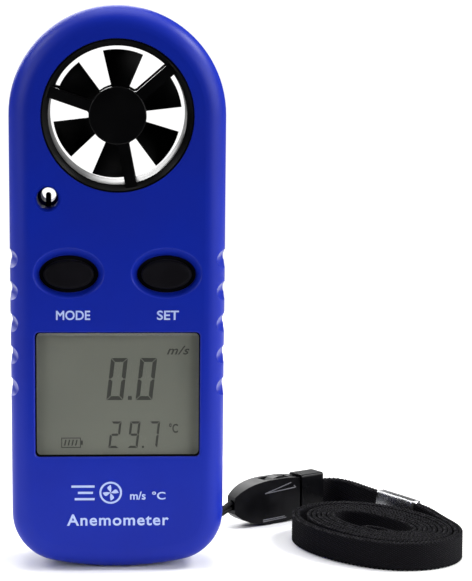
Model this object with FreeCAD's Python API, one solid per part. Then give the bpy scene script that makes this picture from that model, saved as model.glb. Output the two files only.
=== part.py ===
import FreeCAD, Part
import math
import os

# Pocket vane anemometer with a neck lanyard. Millimetres. X to the right, Y to the back,
# Z up; the front face looks along -Y and the origin is under the middle of the housing.
# Each function below makes one physical piece, written to parts/NAME.step.

V = FreeCAD.Vector

# ---- housing ----
HEIGHT = 105.0
WIDTH = 40.0
DEPTH = 16.0
WALL = 1.8
EDGE_R = 4.0                # rounding of the front and back edges
FOOT_TAPER = 0.25           # how much narrower each side is above the bottom corners
FOOT_HALF = WIDTH / 2 - FOOT_TAPER
CORNER_R = 9.4              # bottom corners
FOOT_R = 60.0               # large arc of the bottom edge
SEAM_Y = 0.0                # where the two case halves meet
SEAM_W = 0.12               # half width and depth of the groove along the seam
SEAM_D = 0.2
FRONT_Y = -DEPTH / 2
BACK_Y = DEPTH / 2
TOP_R = WIDTH / 2
FAN_Z = HEIGHT - TOP_R

# ---- wind tunnel, guards and impeller ----
GUARD_R = 14.0
GUARD_GAP = 0.05            # case bore to guard
TUNNEL_R = 12.7
GUARD_SET = 0.1             # guard rim below the case face
RIM_DROP = 1.2              # depth of the bevel inside the rim
HUB_R = 5.3
STRUT_W = 2.1
STRUT_ANGLES = (41.0, 161.0, 281.0)
STRUT_T = 1.5
STRUT_SET = 0.5             # struts below the case face
STRUT_FILLET = 0.6          # rounding where struts meet the barrel and the hub
RIM_EDGE = 0.3              # flat edge of the rim outside the bevel
HUB_PROUD = 0.1             # hub in front of the struts
HUB_BACK = 0.3              # hub behind the struts
HUB_EDGE = 0.25
BLADES = 6
BLADE_FIRST = 25.0          # angle of the first blade
BLADE_SPAN = 36.5           # angle that a blade covers seen from the front
BLADE_R = 11.9
BLADE_RISE = 4.8            # axial height of a blade
BLADE_T = 0.7
ROTOR_HUB_R = 4.4
ROTOR_HUB_L = 7.0
SHAFT_R = 0.5
RUN_GAP = 0.05              # running clearance round the shaft
BUSH_R = 1.3
BUSH_L = 1.6
END_PLAY = 0.3
MAGNET_R = 3.4
MAGNET_BORE = 1.6
MAGNET_L = 1.5

# ---- temperature sensor ----
SENSOR_X = -12.85
SENSOR_DROP = 15.2          # below the fan's centre
SENSOR_Z = FAN_Z - SENSOR_DROP
SENSOR_BORE_R = 2.0         # in the front half
SENSOR_BACK_R = 1.42        # in the rear half
SENSOR_MOUTH_R = 2.45
SENSOR_BACK_FLARE = 0.3
SENSOR_MOUTH_T = 1.3
SENSOR_WALL = 1.0
BEAD_R = 0.5
BEAD_TOP = 0.55             # top of the bead above the hole's centre
LEAD_R = 0.2
LEAD_PITCH = 0.5

# ---- display ----
WINDOW_HALF_W = 15.25
WINDOW_Z0 = 21.7
WINDOW_Z1 = 45.1
WINDOW_CORNER = 0.8
WINDOW_SET = 0.15           # window face below the case face
WINDOW_STEP = 1.0           # depth of the window's flange behind the case face
WINDOW_T = 0.75             # thickness of the flange
WINDOW_LIP = 0.7
WINDOW_GAP = 0.12
WINDOW_EDGE = 0.5           # bevel round the window's face
WINDOW_BEVEL = 0.25         # bevel round the case opening
FIT_GAP = 0.05
CELL_T = 1.7
CELL_LIP = 0.35
FRAME_WALL = 0.8
ZEBRA_H = 1.6

# ---- buttons ----
BUTTON_X = 9.0
BUTTON_Z = 55.8
BUTTON_W = 9.3
BUTTON_H = 5.4
BUTTON_GAP = 0.8
BUTTON_PROUD = -0.3         # cap above the case face
BUTTON_EDGE = 0.6
FLANGE_LIP = 1.4
FLANGE_T = 0.7
BUTTON_TRAVEL = 0.5
STEM_R = 1.3
DISH_W = 13.0
DISH_H = 9.4
DISH_DEPTH = 1.4
DISH_UP = 0.3
DISH_EDGE = 0.25            # rounding of the dish's rim

# ---- side grips ----
GRIP_COUNT = 5
GRIP_PITCH = 6.0
GRIP_FIRST_Z = 34.5
GRIP_R = 2.0
GRIP_DEPTH = 0.28
GRIP_TILT = 11.0

# ---- circuit board ----
BOARD_HALF_W = 16.3
BOARD_Z0 = 18.4
BOARD_DROP = 21.0           # top edge of the board below the fan's centre
BOARD_Z1 = FAN_Z - BOARD_DROP
BOARD_T = 1.2
BOARD_Y = -1.0              # front face of the board
SWITCH_W = 4.5
SWITCH_T = 1.6
PLUNGER_R = 1.1
BOARD_SCREW_Z = (50.4, 61.2)
BOARD_SCREW_R = 0.7
BOARD_HEAD_R = 1.5
BOARD_HEAD_T = 0.9
BOARD_SCREW_BITE = 3.0      # screw length in the boss
BOARD_CORNER = 1.0
CHIP_X = -8.5
CHIP_Z = 54.5
CHIP_R = (4.2, 2.6)         # foot and top of the resin drop
CHIP_T = 1.2
CHIP_EDGE = 0.5
CRYSTAL = (4.0, 10.0, 56.5, 58.5)
CRYSTAL_T = 1.8
RESISTOR = (4.0, 5.6, 52.6, 53.4)
RESISTOR_PITCH = 2.4
RESISTOR_COUNT = 4
RESISTOR_T = 0.8
PICKUP_X = (4.5, 8.5)
PICKUP_T = 1.5
PICKUP_FOOT = 1.0           # overlap with the board
PICKUP_RISE = 2.6           # reach above the board's edge
PICKUP_EDGE = 0.3

# ---- battery ----
COIN_R = 10.0
COIN_T = 3.2
COIN_Z = 33.0
COIN_Y = 1.9
HOLDER_WALL = 1.0
HOLDER_GAP = 0.2
COVER_MARGIN = 1.9          # cover wider than the cell
COVER_R = COIN_R + COVER_MARGIN
COVER_T = 1.5
COVER_GAP = 0.25
LUG_REACH = 1.3
LUG_T = 0.7
LUG_SPAN = 26.0
LUG_TURN = -45.0
LUG_GAP = 0.25
SLOT_L = 13.0
SLOT_W = 1.8
SLOT_D = 0.8
COVER_EDGE = 0.3
SKIRT_GAP = 0.1             # skirt inside the plate's edge
SKIRT_WALL = 1.0
LUG_ROOM = 6.0              # extra angle of the lugs' entry slots
ENTRY_SKIN = 0.6            # case skin left behind the entry slots
HOLDER_H = 0.8              # holder wall as a share of the cell's thickness
HOLDER_SEAT = 2.0           # width of the ledge under the cell
GATE_HALF_W = 3.0           # gap in the holder for the side contact
CELL_EDGE = 0.3
CONTACT_T = 0.3
CONTACT_W = 4.0
CONTACT_GAP = 0.01

# ---- case screws ----
SCREW_TOP_ANGLE = 45.0
SCREW_LOW_X = 14.0
SCREW_LOW_Z = 15.4
SCREW_R = 0.9
SCREW_HEAD_R = 1.8
SCREW_HEAD_T = 1.6
SCREW_L = 9.0
BOSS_WALL = 1.2
BOSS_BITE = 0.25            # how far a top boss reaches into the side wall
SINK_DEPTH = 2.4
SHANK_GAP = 0.15            # clearance round a screw's shank
HEAD_GAP = 0.2              # clearance round its head
DRIVE_HALF_L = 1.2          # cross recess
DRIVE_HALF_W = 0.25
DRIVE_DEPTH = 0.8

# ---- lanyard bar ----
NOTCH_X = 12.6
NOTCH_Z0 = 5.6
NOTCH_Z1 = 10.6
NOTCH_DEPTH = 4.2
NOTCH_WALL = 1.3
BAR_R = 0.75
BAR_X = 15.6
BAR_SET = 1.9               # bar's centre below the back face
BAR_HOLD = 0.8              # how far each end of the bar sits in the wall

# ---- lanyard: a loop cord, a side-release buckle and a folded neck strap ----
CORD_D = 1.0
CORD_ROUTE = ((22.79, 23.82, 5.3), (18.8, 20.0, 3.3), (17.3, 15.3, 3.4), (16.9, 10.8, 5.3),
              (16.95, 7.2, 7.4), (16.9, 4.8, 8.1), (14.3, 4.8, 8.1), (14.4, 7.6, 7.7),
              (15.6, 11.0, 5.0), (16.25, 15.4, 2.6), (18.4, 20.3, 2.15), (22.79, 23.82, 4.2))
BUCKLE_TIP = (22.94, 23.97)
BUCKLE_YAW = 33.0
BUCKLE_L = 21.9
BUCKLE_HALF_H = 4.5
BUCKLE_HALF_T = 2.2
TIP_HALF_H = 1.7
TIP_HALF_T = 1.3
SOCKET_L = 16.0
SOCKET_END = (4.1, 2.0)     # half height and half thickness at the mouth
SOCKET_WALL = 1.0
EYE_R = 1.1                 # hole for the loop cord
EYE_DEPTH = 2.0
BLOCK_L = 5.5
PART_GAP = 0.2
PRONG_T = 1.3
PRONG_IN = 1.7              # inner face of a prong from the buckle's axis
PRONG_TIP = 7.0
BARB_S = (7.8, 13.2)         # ends of the barb, from the buckle's tip
BARB_OUT = 4.75             # the barbs stand proud, and the buckle lies on the lower one
BUCKLE_Z = BARB_OUT
BARB_RISE = ((0.15, 0.55), (0.35, 0.85), (0.6, 1.0), (0.85, 0.97))
WINDOW_S = (7.4, 13.8)
MOUTH_S = 5.0
TONGUE_S = 5.6
TONGUE_HALF = 0.6
STRAP_W = 5.5
STRAP_T = 1.7
COIL_X = 50.4
COIL_Y = 7.4
COIL_YAW = -54.6
COIL_A = 19.6
COIL_B = 13.6
STRAP_Z = STRAP_W / 2
CRIMP_L = 9.5
CRIMP_AT = 0.53             # its middle along the straight run
CRIMP_WALL = 0.3
CRIMP_EDGE = 0.3
COIL_EDGE = 0.4
BLOCK_EDGE = 0.5
STRAP_SLOT = 2.8            # depth of the strap's slot in the block
STRAP_GAP = 0.1


def box(x0, x1, y0, y1, z0, z1):
    """Box between two corners."""
    return Part.makeBox(x1 - x0, y1 - y0, z1 - z0, V(x0, y0, z0))


def rod(radius, x, z, y0, y1):
    """Cylinder along Y."""
    return Part.makeCylinder(radius, y1 - y0, V(x, y0, z), V(0, 1, 0))


def ring(outer, inner, x, z, y0, y1):
    """Tube along Y."""
    return rod(outer, x, z, y0, y1).cut(rod(inner, x, z, y0 - 1, y1 + 1))


def polar(radius, degrees):
    """X and Z offsets of a point on a circle about the fan axis."""
    angle = math.radians(degrees)
    return radius * math.cos(angle), radius * math.sin(angle)


def fuse(first, others):
    """Union of a shape and a list of shapes, with split faces merged."""
    return first.multiFuse(others).removeSplitter()


def outline(inset, y):
    """Housing outline: a half circle on top, two tangent sides, round corners, arched foot."""
    top_r, corner_r, foot_r = TOP_R - inset, CORNER_R - inset, FOOT_R - inset
    corner_x = FOOT_HALF - CORNER_R
    corner_z = FOOT_R - math.sqrt((FOOT_R - CORNER_R) ** 2 - corner_x ** 2)
    drop = FAN_Z - corner_z
    reach = math.hypot(corner_x, drop)
    lean = math.acos((TOP_R - CORNER_R) / reach) - math.atan2(drop, corner_x)
    nx, nz = math.cos(lean), math.sin(lean)
    fx, fz = corner_x / (FOOT_R - CORNER_R), (corner_z - FOOT_R) / (FOOT_R - CORNER_R)
    mx, mz = math.cos(math.radians(-40)), math.sin(math.radians(-40))

    def at(x, z):
        return V(x, y, z)

    side_top = (top_r * nx, FAN_Z + top_r * nz)
    side_low = (corner_x + corner_r * nx, corner_z + corner_r * nz)
    corner = (corner_x + corner_r * mx, corner_z + corner_r * mz)
    foot = (foot_r * fx, FOOT_R + foot_r * fz)
    edges = [
        Part.Arc(at(-side_top[0], side_top[1]), at(0, FAN_Z + top_r), at(*side_top)),
        Part.LineSegment(at(*side_top), at(*side_low)),
        Part.Arc(at(*side_low), at(*corner), at(*foot)),
        Part.Arc(at(*foot), at(0, FOOT_R - foot_r), at(-foot[0], foot[1])),
        Part.Arc(at(-foot[0], foot[1]), at(-corner[0], corner[1]), at(-side_low[0], side_low[1])),
        Part.LineSegment(at(-side_low[0], side_low[1]), at(-side_top[0], side_top[1])),
    ]
    return Part.Face(Part.Wire([edge.toShape() for edge in edges]))


def rounded_block(inset, rounding):
    """Housing-shaped block with rounded front and back edges."""
    y0, y1 = FRONT_Y + inset, BACK_Y - inset
    block = outline(inset, y0).extrude(V(0, y1 - y0, 0))
    rims = [edge for edge in block.Edges
            if all(abs(v.Y - y0) < 1e-6 for v in edge.Vertexes)
            or all(abs(v.Y - y1) < 1e-6 for v in edge.Vertexes)]
    return block.makeFillet(rounding, rims)


def slab(half_w, z0, z1, corner, y0, y1):
    """Plate in the XZ plane with rounded corners."""
    plate = box(-half_w, half_w, y0, y1, z0, z1)
    uprights = [edge for edge in plate.Edges
                if abs(edge.Vertexes[0].Y - edge.Vertexes[-1].Y) > (y1 - y0) / 2]
    return plate.makeFillet(corner, uprights)


def oval(width, height, x, z, y):
    """Elliptical wire in the XZ plane."""
    curve = Part.Ellipse(V(x + width / 2, y, z), V(x, y, z + height / 2), V(x, y, z))
    return Part.Wire([curve.toShape()])


def oval_block(width, height, x, z, y0, y1):
    """Elliptical prism along Y."""
    return Part.Face(oval(width, height, x, z, y0)).extrude(V(0, y1 - y0, 0))


def screw_places():
    """Centres of the four case screws."""
    dx, dz = polar(TOP_R - WALL - SCREW_R - BOSS_WALL + BOSS_BITE, SCREW_TOP_ANGLE)
    return [(-dx, FAN_Z + dz), (dx, FAN_Z + dz), (-SCREW_LOW_X, SCREW_LOW_Z),
            (SCREW_LOW_X, SCREW_LOW_Z)]


def grip_cutters(front):
    """Tilted rods that scoop the finger grips out of both sides of one case half."""
    cutters = []
    length = DEPTH
    tilt = math.radians(GRIP_TILT)
    lean = -1 if front else 1
    for index in range(GRIP_COUNT):
        z = GRIP_FIRST_Z + index * GRIP_PITCH
        for side in (-1, 1):
            start = V(side * (TOP_R - GRIP_DEPTH + GRIP_R / math.cos(tilt)), SEAM_Y, z)
            along = V(-side * math.sin(tilt), lean * math.cos(tilt), 0)
            cutters.append(Part.makeCylinder(GRIP_R, length, start, along))
    return cutters


def half_space(front):
    """Big box on one side of the seam."""
    if front:
        return box(-WIDTH, WIDTH, FRONT_Y - 1, SEAM_Y, -1, HEIGHT + 1)
    return box(-WIDTH, WIDTH, SEAM_Y, BACK_Y + 1, -1, HEIGHT + 1)


def case_half(front, bosses, cuts):
    """One half of the housing: shell plus bosses, less the given cuts."""
    outer = rounded_block(0, EDGE_R)
    inner = rounded_block(WALL, EDGE_R - WALL)
    shell = outer.cut(inner)
    kept = [boss.common(outer) for boss in bosses]
    body = fuse(shell, kept).common(half_space(front))
    return body.cut(Part.makeCompound(cuts + [seam_groove()])).removeSplitter()


def seam_groove():
    """Thin band round the outline, sunk where the case halves meet."""
    y0 = SEAM_Y - SEAM_W
    band = outline(-1.0, y0).extrude(V(0, 2 * SEAM_W, 0))
    return band.cut(outline(SEAM_D, y0).extrude(V(0, 2 * SEAM_W, 0)))


def sensor_cuts(front):
    """Through hole of the temperature sensor, with a funnel at its mouth."""
    bore = SENSOR_BORE_R if front else SENSOR_BACK_R
    funnel = SENSOR_MOUTH_R if front else SENSOR_BACK_R + SENSOR_BACK_FLARE
    mouth_y = FRONT_Y if front else BACK_Y
    inward = 1 if front else -1
    cone = Part.makeCone(funnel, bore, SENSOR_MOUTH_T, V(SENSOR_X, mouth_y, SENSOR_Z),
                         V(0, inward, 0))
    hole = rod(bore, SENSOR_X, SENSOR_Z, FRONT_Y - 1, BACK_Y + 1)
    lead_way = Part.makeCylinder(BEAD_R + FIT_GAP, SENSOR_BORE_R + SENSOR_WALL + 1,
                                 V(SENSOR_X, SEAM_Y, SENSOR_Z), V(0, 0, -1))
    return [cone, hole, lead_way]


def front_case():
    inner_y = FRONT_Y + WALL
    pilot_y = SEAM_Y - (SCREW_L - (BACK_Y - SINK_DEPTH - SEAM_Y)) - 0.5
    bosses = [rod(SCREW_R + BOSS_WALL, x, z, inner_y - 0.5, SEAM_Y) for x, z in screw_places()]
    bosses.append(rod(SENSOR_BORE_R + SENSOR_WALL, SENSOR_X, SENSOR_Z, inner_y - 0.5, SEAM_Y))
    for z in BOARD_SCREW_Z:
        bosses.append(rod(BOARD_SCREW_R + 1.0, 0, z, inner_y - 0.5, BOARD_Y))
    cuts = [rod(GUARD_R + GUARD_GAP, 0, FAN_Z, FRONT_Y - 1, SEAM_Y + 1)]
    cuts += sensor_cuts(True)
    cuts += [rod(SCREW_R + FIT_GAP, x, z, pilot_y, SEAM_Y + 1) for x, z in screw_places()]
    for z in BOARD_SCREW_Z:
        cuts.append(rod(BOARD_SCREW_R + FIT_GAP, 0, z, inner_y + 0.8, BOARD_Y + 1))
    window_y = FRONT_Y + WINDOW_STEP
    cuts.append(slab(WINDOW_HALF_W, WINDOW_Z0, WINDOW_Z1, WINDOW_CORNER, FRONT_Y - 1, inner_y + 1))
    lip = WINDOW_LIP + FIT_GAP
    cuts.append(slab(WINDOW_HALF_W + lip, WINDOW_Z0 - lip, WINDOW_Z1 + lip, WINDOW_CORNER,
                     window_y, inner_y + 0.5))
    for side in (-1, 1):
        x = side * BUTTON_X
        mouth = oval(DISH_W, DISH_H, x, BUTTON_Z + DISH_UP, FRONT_Y - 0.01)
        floor = oval(BUTTON_W + 2 * BUTTON_GAP + 0.2, BUTTON_H + 2 * BUTTON_GAP + 0.2, x, BUTTON_Z,
                     FRONT_Y + DISH_DEPTH)
        cuts.append(Part.makeLoft([mouth, floor], True))
        cuts.append(oval_block(BUTTON_W + 2 * BUTTON_GAP, BUTTON_H + 2 * BUTTON_GAP, x, BUTTON_Z,
                               FRONT_Y - 1, inner_y + 1))
    case = case_half(True, bosses, cuts + grip_cutters(True))
    sill = [edge for edge in case.Edges
            if all(abs(v.Y - FRONT_Y) < 1e-6 for v in edge.Vertexes)
            and all(abs(v.X) < WINDOW_HALF_W + 0.01 for v in edge.Vertexes)
            and all(WINDOW_Z0 - 0.01 < v.Z < WINDOW_Z1 + 0.01 for v in edge.Vertexes)]
    case = case.makeChamfer(WINDOW_BEVEL, sill)
    rims = [edge for edge in case.Edges
            if all(abs(v.Y - FRONT_Y) < 1e-6 for v in edge.Vertexes)
            and all(abs(abs(v.X) - BUTTON_X) < DISH_W / 2 + 0.01 for v in edge.Vertexes)
            and all(abs(v.Z - BUTTON_Z - DISH_UP) < DISH_H / 2 + 0.01 for v in edge.Vertexes)]
    return case.makeFillet(DISH_EDGE, rims)


def rear_case():
    inner_y = BACK_Y - WALL
    bosses = [rod(SCREW_HEAD_R + BOSS_WALL, x, z, SEAM_Y, inner_y + 0.5) for x, z in screw_places()]
    bosses.append(rod(SENSOR_BORE_R + SENSOR_WALL, SENSOR_X, SENSOR_Z, SEAM_Y, inner_y + 0.5))
    notch_y = BACK_Y - NOTCH_DEPTH
    bosses.append(box(NOTCH_X - NOTCH_WALL, WIDTH / 2, notch_y - NOTCH_WALL, BACK_Y,
                      NOTCH_Z0 - NOTCH_WALL, NOTCH_Z1 + NOTCH_WALL))
    cuts = [rod(GUARD_R + GUARD_GAP, 0, FAN_Z, SEAM_Y - 1, BACK_Y + 1)]
    cuts += sensor_cuts(False)
    for x, z in screw_places():
        cuts.append(rod(SCREW_R + SHANK_GAP, x, z, SEAM_Y - 1, BACK_Y + 1))
        cuts.append(rod(SCREW_HEAD_R + HEAD_GAP, x, z, BACK_Y - SINK_DEPTH, BACK_Y + 1))
    cuts.append(box(NOTCH_X, WIDTH, notch_y, BACK_Y + 1, NOTCH_Z0, NOTCH_Z1))
    cuts.append(bar_rod(BAR_R + FIT_GAP))
    cuts.append(rod(COVER_R + COVER_GAP, 0, COIN_Z, inner_y - 1, BACK_Y + 1))
    for index in range(3):
        cuts.append(lug(index, LUG_TURN, LUG_REACH + COVER_GAP, LUG_SPAN + LUG_ROOM,
                        inner_y - 1, BACK_Y - ENTRY_SKIN))
    return case_half(False, bosses, cuts + grip_cutters(False))


def lug(index, turn, reach, span, y0, y1):
    """Ring sector outside the battery cover's skirt."""
    radius = COVER_R + reach
    middle = 90 + 120 * index + turn
    x0, z0 = polar(radius * 2, middle - span / 2)
    x1, z1 = polar(radius * 2, middle + span / 2)
    points = [V(0, y0, 0), V(x0, y0, z0), V(x1, y0, z1), V(0, y0, 0)]
    wedge = Part.Face(Part.makePolygon(points)).extrude(V(0, y1 - y0, 0))
    sector = wedge.common(ring(radius, COVER_R - 2.0, 0, 0, y0, y1))
    return sector.translated(V(0, 0, COIN_Z))


def battery_cover():
    """Round coin-turn cover with three bayonet lugs behind the wall and a coin slot."""
    plate = rod(COVER_R, 0, COIN_Z, BACK_Y - COVER_T, BACK_Y)
    rim = [e for e in plate.Edges if len(e.Vertexes) == 1 and abs(e.Vertexes[0].Y - BACK_Y) < 1e-6]
    plate = plate.makeChamfer(COVER_EDGE, rim)
    lug_y = BACK_Y - WALL - LUG_GAP
    skirt_r = COVER_R - SKIRT_GAP
    skirt = ring(skirt_r, skirt_r - SKIRT_WALL, 0, COIN_Z, lug_y - LUG_T, BACK_Y - COVER_T + 0.2)
    core = rod(COVER_R - SKIRT_WALL, 0, COIN_Z, 0, BACK_Y)
    lugs = [lug(index, 0, LUG_REACH, LUG_SPAN, lug_y - LUG_T, lug_y).cut(core) for index in range(3)]
    slot = box(-SLOT_L / 2, SLOT_L / 2, BACK_Y - SLOT_D, BACK_Y + 1, COIN_Z - SLOT_W / 2,
               COIN_Z + SLOT_W / 2)
    return fuse(plate, [skirt] + lugs).cut(slot)


def case_screws():
    head_y = BACK_Y - SINK_DEPTH
    screws = []
    for x, z in screw_places():
        head = rod(SCREW_HEAD_R, x, z, head_y, head_y + SCREW_HEAD_T)
        shank = rod(SCREW_R, x, z, head_y - SCREW_L, head_y)
        floor_y, top_y = head_y + SCREW_HEAD_T - DRIVE_DEPTH, head_y + SCREW_HEAD_T + 1
        across = box(x - DRIVE_HALF_L, x + DRIVE_HALF_L, floor_y, top_y, z - DRIVE_HALF_W,
                     z + DRIVE_HALF_W)
        upright = box(x - DRIVE_HALF_W, x + DRIVE_HALF_W, floor_y, top_y, z - DRIVE_HALF_L,
                      z + DRIVE_HALF_L)
        screws.append(fuse(head, [shank]).cut(across).cut(upright))
    return Part.makeCompound(screws)


def guard(front):
    """Barrel, bevelled rim, three struts and a hub with a blind bush pocket."""
    rim_y = FRONT_Y + GUARD_SET
    barrel = ring(GUARD_R, TUNNEL_R, 0, FAN_Z, rim_y, SEAM_Y)
    bevel = Part.makeCone(GUARD_R - RIM_EDGE, TUNNEL_R, RIM_DROP, V(0, rim_y, FAN_Z), V(0, 1, 0))
    strut_y = FRONT_Y + STRUT_SET
    hub = rod(HUB_R, 0, FAN_Z, strut_y - HUB_PROUD, bush_face())
    hub = hub.makeFillet(HUB_EDGE, [e for e in hub.Edges if len(e.Vertexes) == 1])
    arms = []
    for angle in STRUT_ANGLES:
        arm = box(HUB_R - 1.0, TUNNEL_R + 0.6, strut_y, strut_y + STRUT_T, -STRUT_W / 2, STRUT_W / 2)
        arm.rotate(V(0, 0, 0), V(0, -1, 0), angle)
        arms.append(arm.translated(V(0, 0, FAN_Z)))
    body = fuse(barrel.cut(bevel), [hub] + arms)
    roots = [e for e in body.Edges if is_strut_root(e)]
    body = body.makeFillet(STRUT_FILLET, roots)
    pocket = rod(BUSH_R, 0, FAN_Z, bush_face() - BUSH_L, SEAM_Y)
    body = body.cut(pocket.cut(ring(GUARD_R, HUB_R, 0, FAN_Z, FRONT_Y, SEAM_Y)))
    return body if front else mirrored(body)


def is_strut_root(edge):
    """True for a straight edge along Y where a strut meets the barrel or the hub."""
    if len(edge.Vertexes) != 2 or edge.Length < STRUT_T / 2:
        return False
    first, last = (vertex.Point for vertex in edge.Vertexes)
    if math.hypot(first.x - last.x, first.z - last.z) > 1e-6:
        return False
    radius = math.hypot(first.x, first.z - FAN_Z)
    return abs(radius - HUB_R) < 0.01 or abs(radius - TUNNEL_R) < 0.01


def mirrored(shape):
    """The shape reflected from the front half to the back half."""
    return shape.mirror(V(0, SEAM_Y, 0), V(0, 1, 0))


def bush_face():
    """Y of the inner face of the front hub."""
    return FRONT_Y + STRUT_SET + STRUT_T + HUB_BACK


def bush(front):
    """Plain bearing bush in a guard's hub."""
    face = bush_face()
    body = ring(BUSH_R, SHAFT_R + RUN_GAP, 0, FAN_Z, face - BUSH_L, face)
    return body if front else mirrored(body)


def blade(index):
    """Twisted vane whose front and back edges are radial."""
    flare = math.tan(math.radians(BLADE_SPAN / 2))
    rise = BLADE_RISE / 2 - BLADE_T / 2
    sections = []
    for radius in (ROTOR_HUB_R - 0.6, BLADE_R + 2.0):
        half = radius * flare
        corners = [(-half, -rise - BLADE_T / 2), (-half, -rise + BLADE_T / 2),
                   (half, rise + BLADE_T / 2), (half, rise - BLADE_T / 2)]
        points = [V(radius, y, t) for t, y in corners]
        sections.append(Part.makePolygon(points + points[:1]))
    vane = Part.makeLoft(sections, True, True)
    vane = vane.common(Part.makeCylinder(BLADE_R, DEPTH, V(0, -DEPTH / 2, 0), V(0, 1, 0)))
    vane.rotate(V(0, 0, 0), V(0, -1, 0), BLADE_FIRST + index * 360.0 / BLADES)
    return vane.translated(V(0, SEAM_Y, FAN_Z))


def impeller():
    half = ROTOR_HUB_L / 2
    hub = rod(ROTOR_HUB_R, 0, FAN_Z, SEAM_Y - half, SEAM_Y + half)
    body = fuse(hub, [blade(index) for index in range(BLADES)])
    body = body.cut(rod(SHAFT_R, 0, FAN_Z, SEAM_Y - DEPTH, SEAM_Y + DEPTH))
    return body.cut(ring(MAGNET_R, MAGNET_BORE, 0, FAN_Z, SEAM_Y + half - MAGNET_L, SEAM_Y + DEPTH))


def impeller_shaft():
    half = SEAM_Y - bush_face() + BUSH_L - END_PLAY
    return rod(SHAFT_R, 0, FAN_Z, SEAM_Y - half, SEAM_Y + half)


def rotor_magnet():
    back = SEAM_Y + ROTOR_HUB_L / 2
    return ring(MAGNET_R, MAGNET_BORE, 0, FAN_Z, back - MAGNET_L, back)


def thermistor():
    """Bead on two wire legs that drop to the board."""
    top = SENSOR_Z + BEAD_TOP - BEAD_R
    foot = SENSOR_Z - SENSOR_BORE_R
    stem = Part.makeCylinder(BEAD_R, top - foot, V(SENSOR_X, SEAM_Y, foot))
    bead = fuse(stem, [Part.makeSphere(BEAD_R, V(SENSOR_X, SEAM_Y, top))])
    legs = [Part.makeCylinder(LEAD_R, foot - BOARD_Z1 + 0.1,
                              V(SENSOR_X + side * LEAD_PITCH / 2, SEAM_Y, BOARD_Z1))
            for side in (-1, 1)]
    return fuse(bead, legs)


def display_window():
    """Clear window: a bevelled face in the opening and a flange glued behind it."""
    lip = WINDOW_LIP
    step_y = FRONT_Y + WINDOW_STEP
    flange = slab(WINDOW_HALF_W + lip, WINDOW_Z0 - lip, WINDOW_Z1 + lip, WINDOW_CORNER - FIT_GAP,
                  step_y, step_y + WINDOW_T)
    face_y = FRONT_Y + WINDOW_SET
    face = slab(WINDOW_HALF_W - WINDOW_GAP, WINDOW_Z0 + WINDOW_GAP, WINDOW_Z1 - WINDOW_GAP,
                WINDOW_CORNER - WINDOW_GAP, face_y, step_y)
    rim = [e for e in face.Edges if all(abs(v.Y - face_y) < 1e-6 for v in e.Vertexes)]
    return fuse(face.makeChamfer(WINDOW_EDGE, rim), [flange])


def cell_front():
    """Y of the display cell's front face."""
    return FRONT_Y + WINDOW_STEP + WINDOW_T + FIT_GAP


def display_cell():
    y0 = cell_front()
    return slab(WINDOW_HALF_W + CELL_LIP, WINDOW_Z0 - CELL_LIP, WINDOW_Z1 + CELL_LIP, 0.3,
                y0, y0 + CELL_T)


def display_frame():
    inside = WINDOW_HALF_W + CELL_LIP + FIT_GAP
    low, high = WINDOW_Z0 - CELL_LIP - FIT_GAP, WINDOW_Z1 + CELL_LIP + FIT_GAP
    y0 = cell_front() + 0.1
    outer = slab(inside + FRAME_WALL, low - FRAME_WALL, high + FRAME_WALL, 0.5, y0, BOARD_Y)
    return outer.cut(slab(inside, low, high, 0.3, y0 - 1, BOARD_Y + 1))


def zebra_strips():
    """Two rubber connectors between the cell and the board."""
    y0 = cell_front() + CELL_T
    half = WINDOW_HALF_W - 1.0
    low = box(-half, half, y0, BOARD_Y, WINDOW_Z0, WINDOW_Z0 + ZEBRA_H)
    high = box(-half, half, y0, BOARD_Y, WINDOW_Z1 - ZEBRA_H, WINDOW_Z1)
    return Part.makeCompound([low, high])


def button(side):
    """Oval cap with a bevelled edge, a retaining flange and a stem."""
    x = side * BUTTON_X
    cap_y = FRONT_Y - BUTTON_PROUD
    flange_y = FRONT_Y + WALL + 0.1
    cap = oval_block(BUTTON_W, BUTTON_H, x, BUTTON_Z, cap_y, flange_y)
    rim = [e for e in cap.Edges if all(abs(v.Y - cap_y) < 1e-6 for v in e.Vertexes)]
    cap = cap.makeFillet(BUTTON_EDGE, rim)
    flange = oval_block(BUTTON_W + 2 * FLANGE_LIP, BUTTON_H + 2 * FLANGE_LIP, x, BUTTON_Z, flange_y,
                        flange_y + FLANGE_T)
    stem_y = BOARD_Y - SWITCH_T - BUTTON_TRAVEL - FIT_GAP
    stem = rod(STEM_R, x, BUTTON_Z, flange_y, stem_y)
    return fuse(cap, [flange, stem])


def button_switches():
    """Two tactile switches on the board."""
    switches = []
    for side in (-1, 1):
        x = side * BUTTON_X
        half = SWITCH_W / 2
        base = box(x - half, x + half, BOARD_Y - SWITCH_T + 0.4, BOARD_Y, BUTTON_Z - half,
                   BUTTON_Z + half)
        plunger = rod(PLUNGER_R, x, BUTTON_Z, BOARD_Y - SWITCH_T, BOARD_Y)
        switches.append(fuse(base, [plunger]))
    return Part.makeCompound(switches)


def main_board():
    board = slab(BOARD_HALF_W, BOARD_Z0, BOARD_Z1, BOARD_CORNER, BOARD_Y, BOARD_Y + BOARD_T)
    for z in BOARD_SCREW_Z:
        board = board.cut(rod(BOARD_SCREW_R + SHANK_GAP, 0, z, BOARD_Y - 1, BOARD_Y + BOARD_T + 1))
    return board


def board_screws():
    back = BOARD_Y + BOARD_T
    screws = []
    for z in BOARD_SCREW_Z:
        head = rod(BOARD_HEAD_R, 0, z, back, back + BOARD_HEAD_T)
        shank = rod(BOARD_SCREW_R, 0, z, BOARD_Y - BOARD_SCREW_BITE, back)
        screws.append(fuse(head, [shank]))
    return Part.makeCompound(screws)


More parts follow.
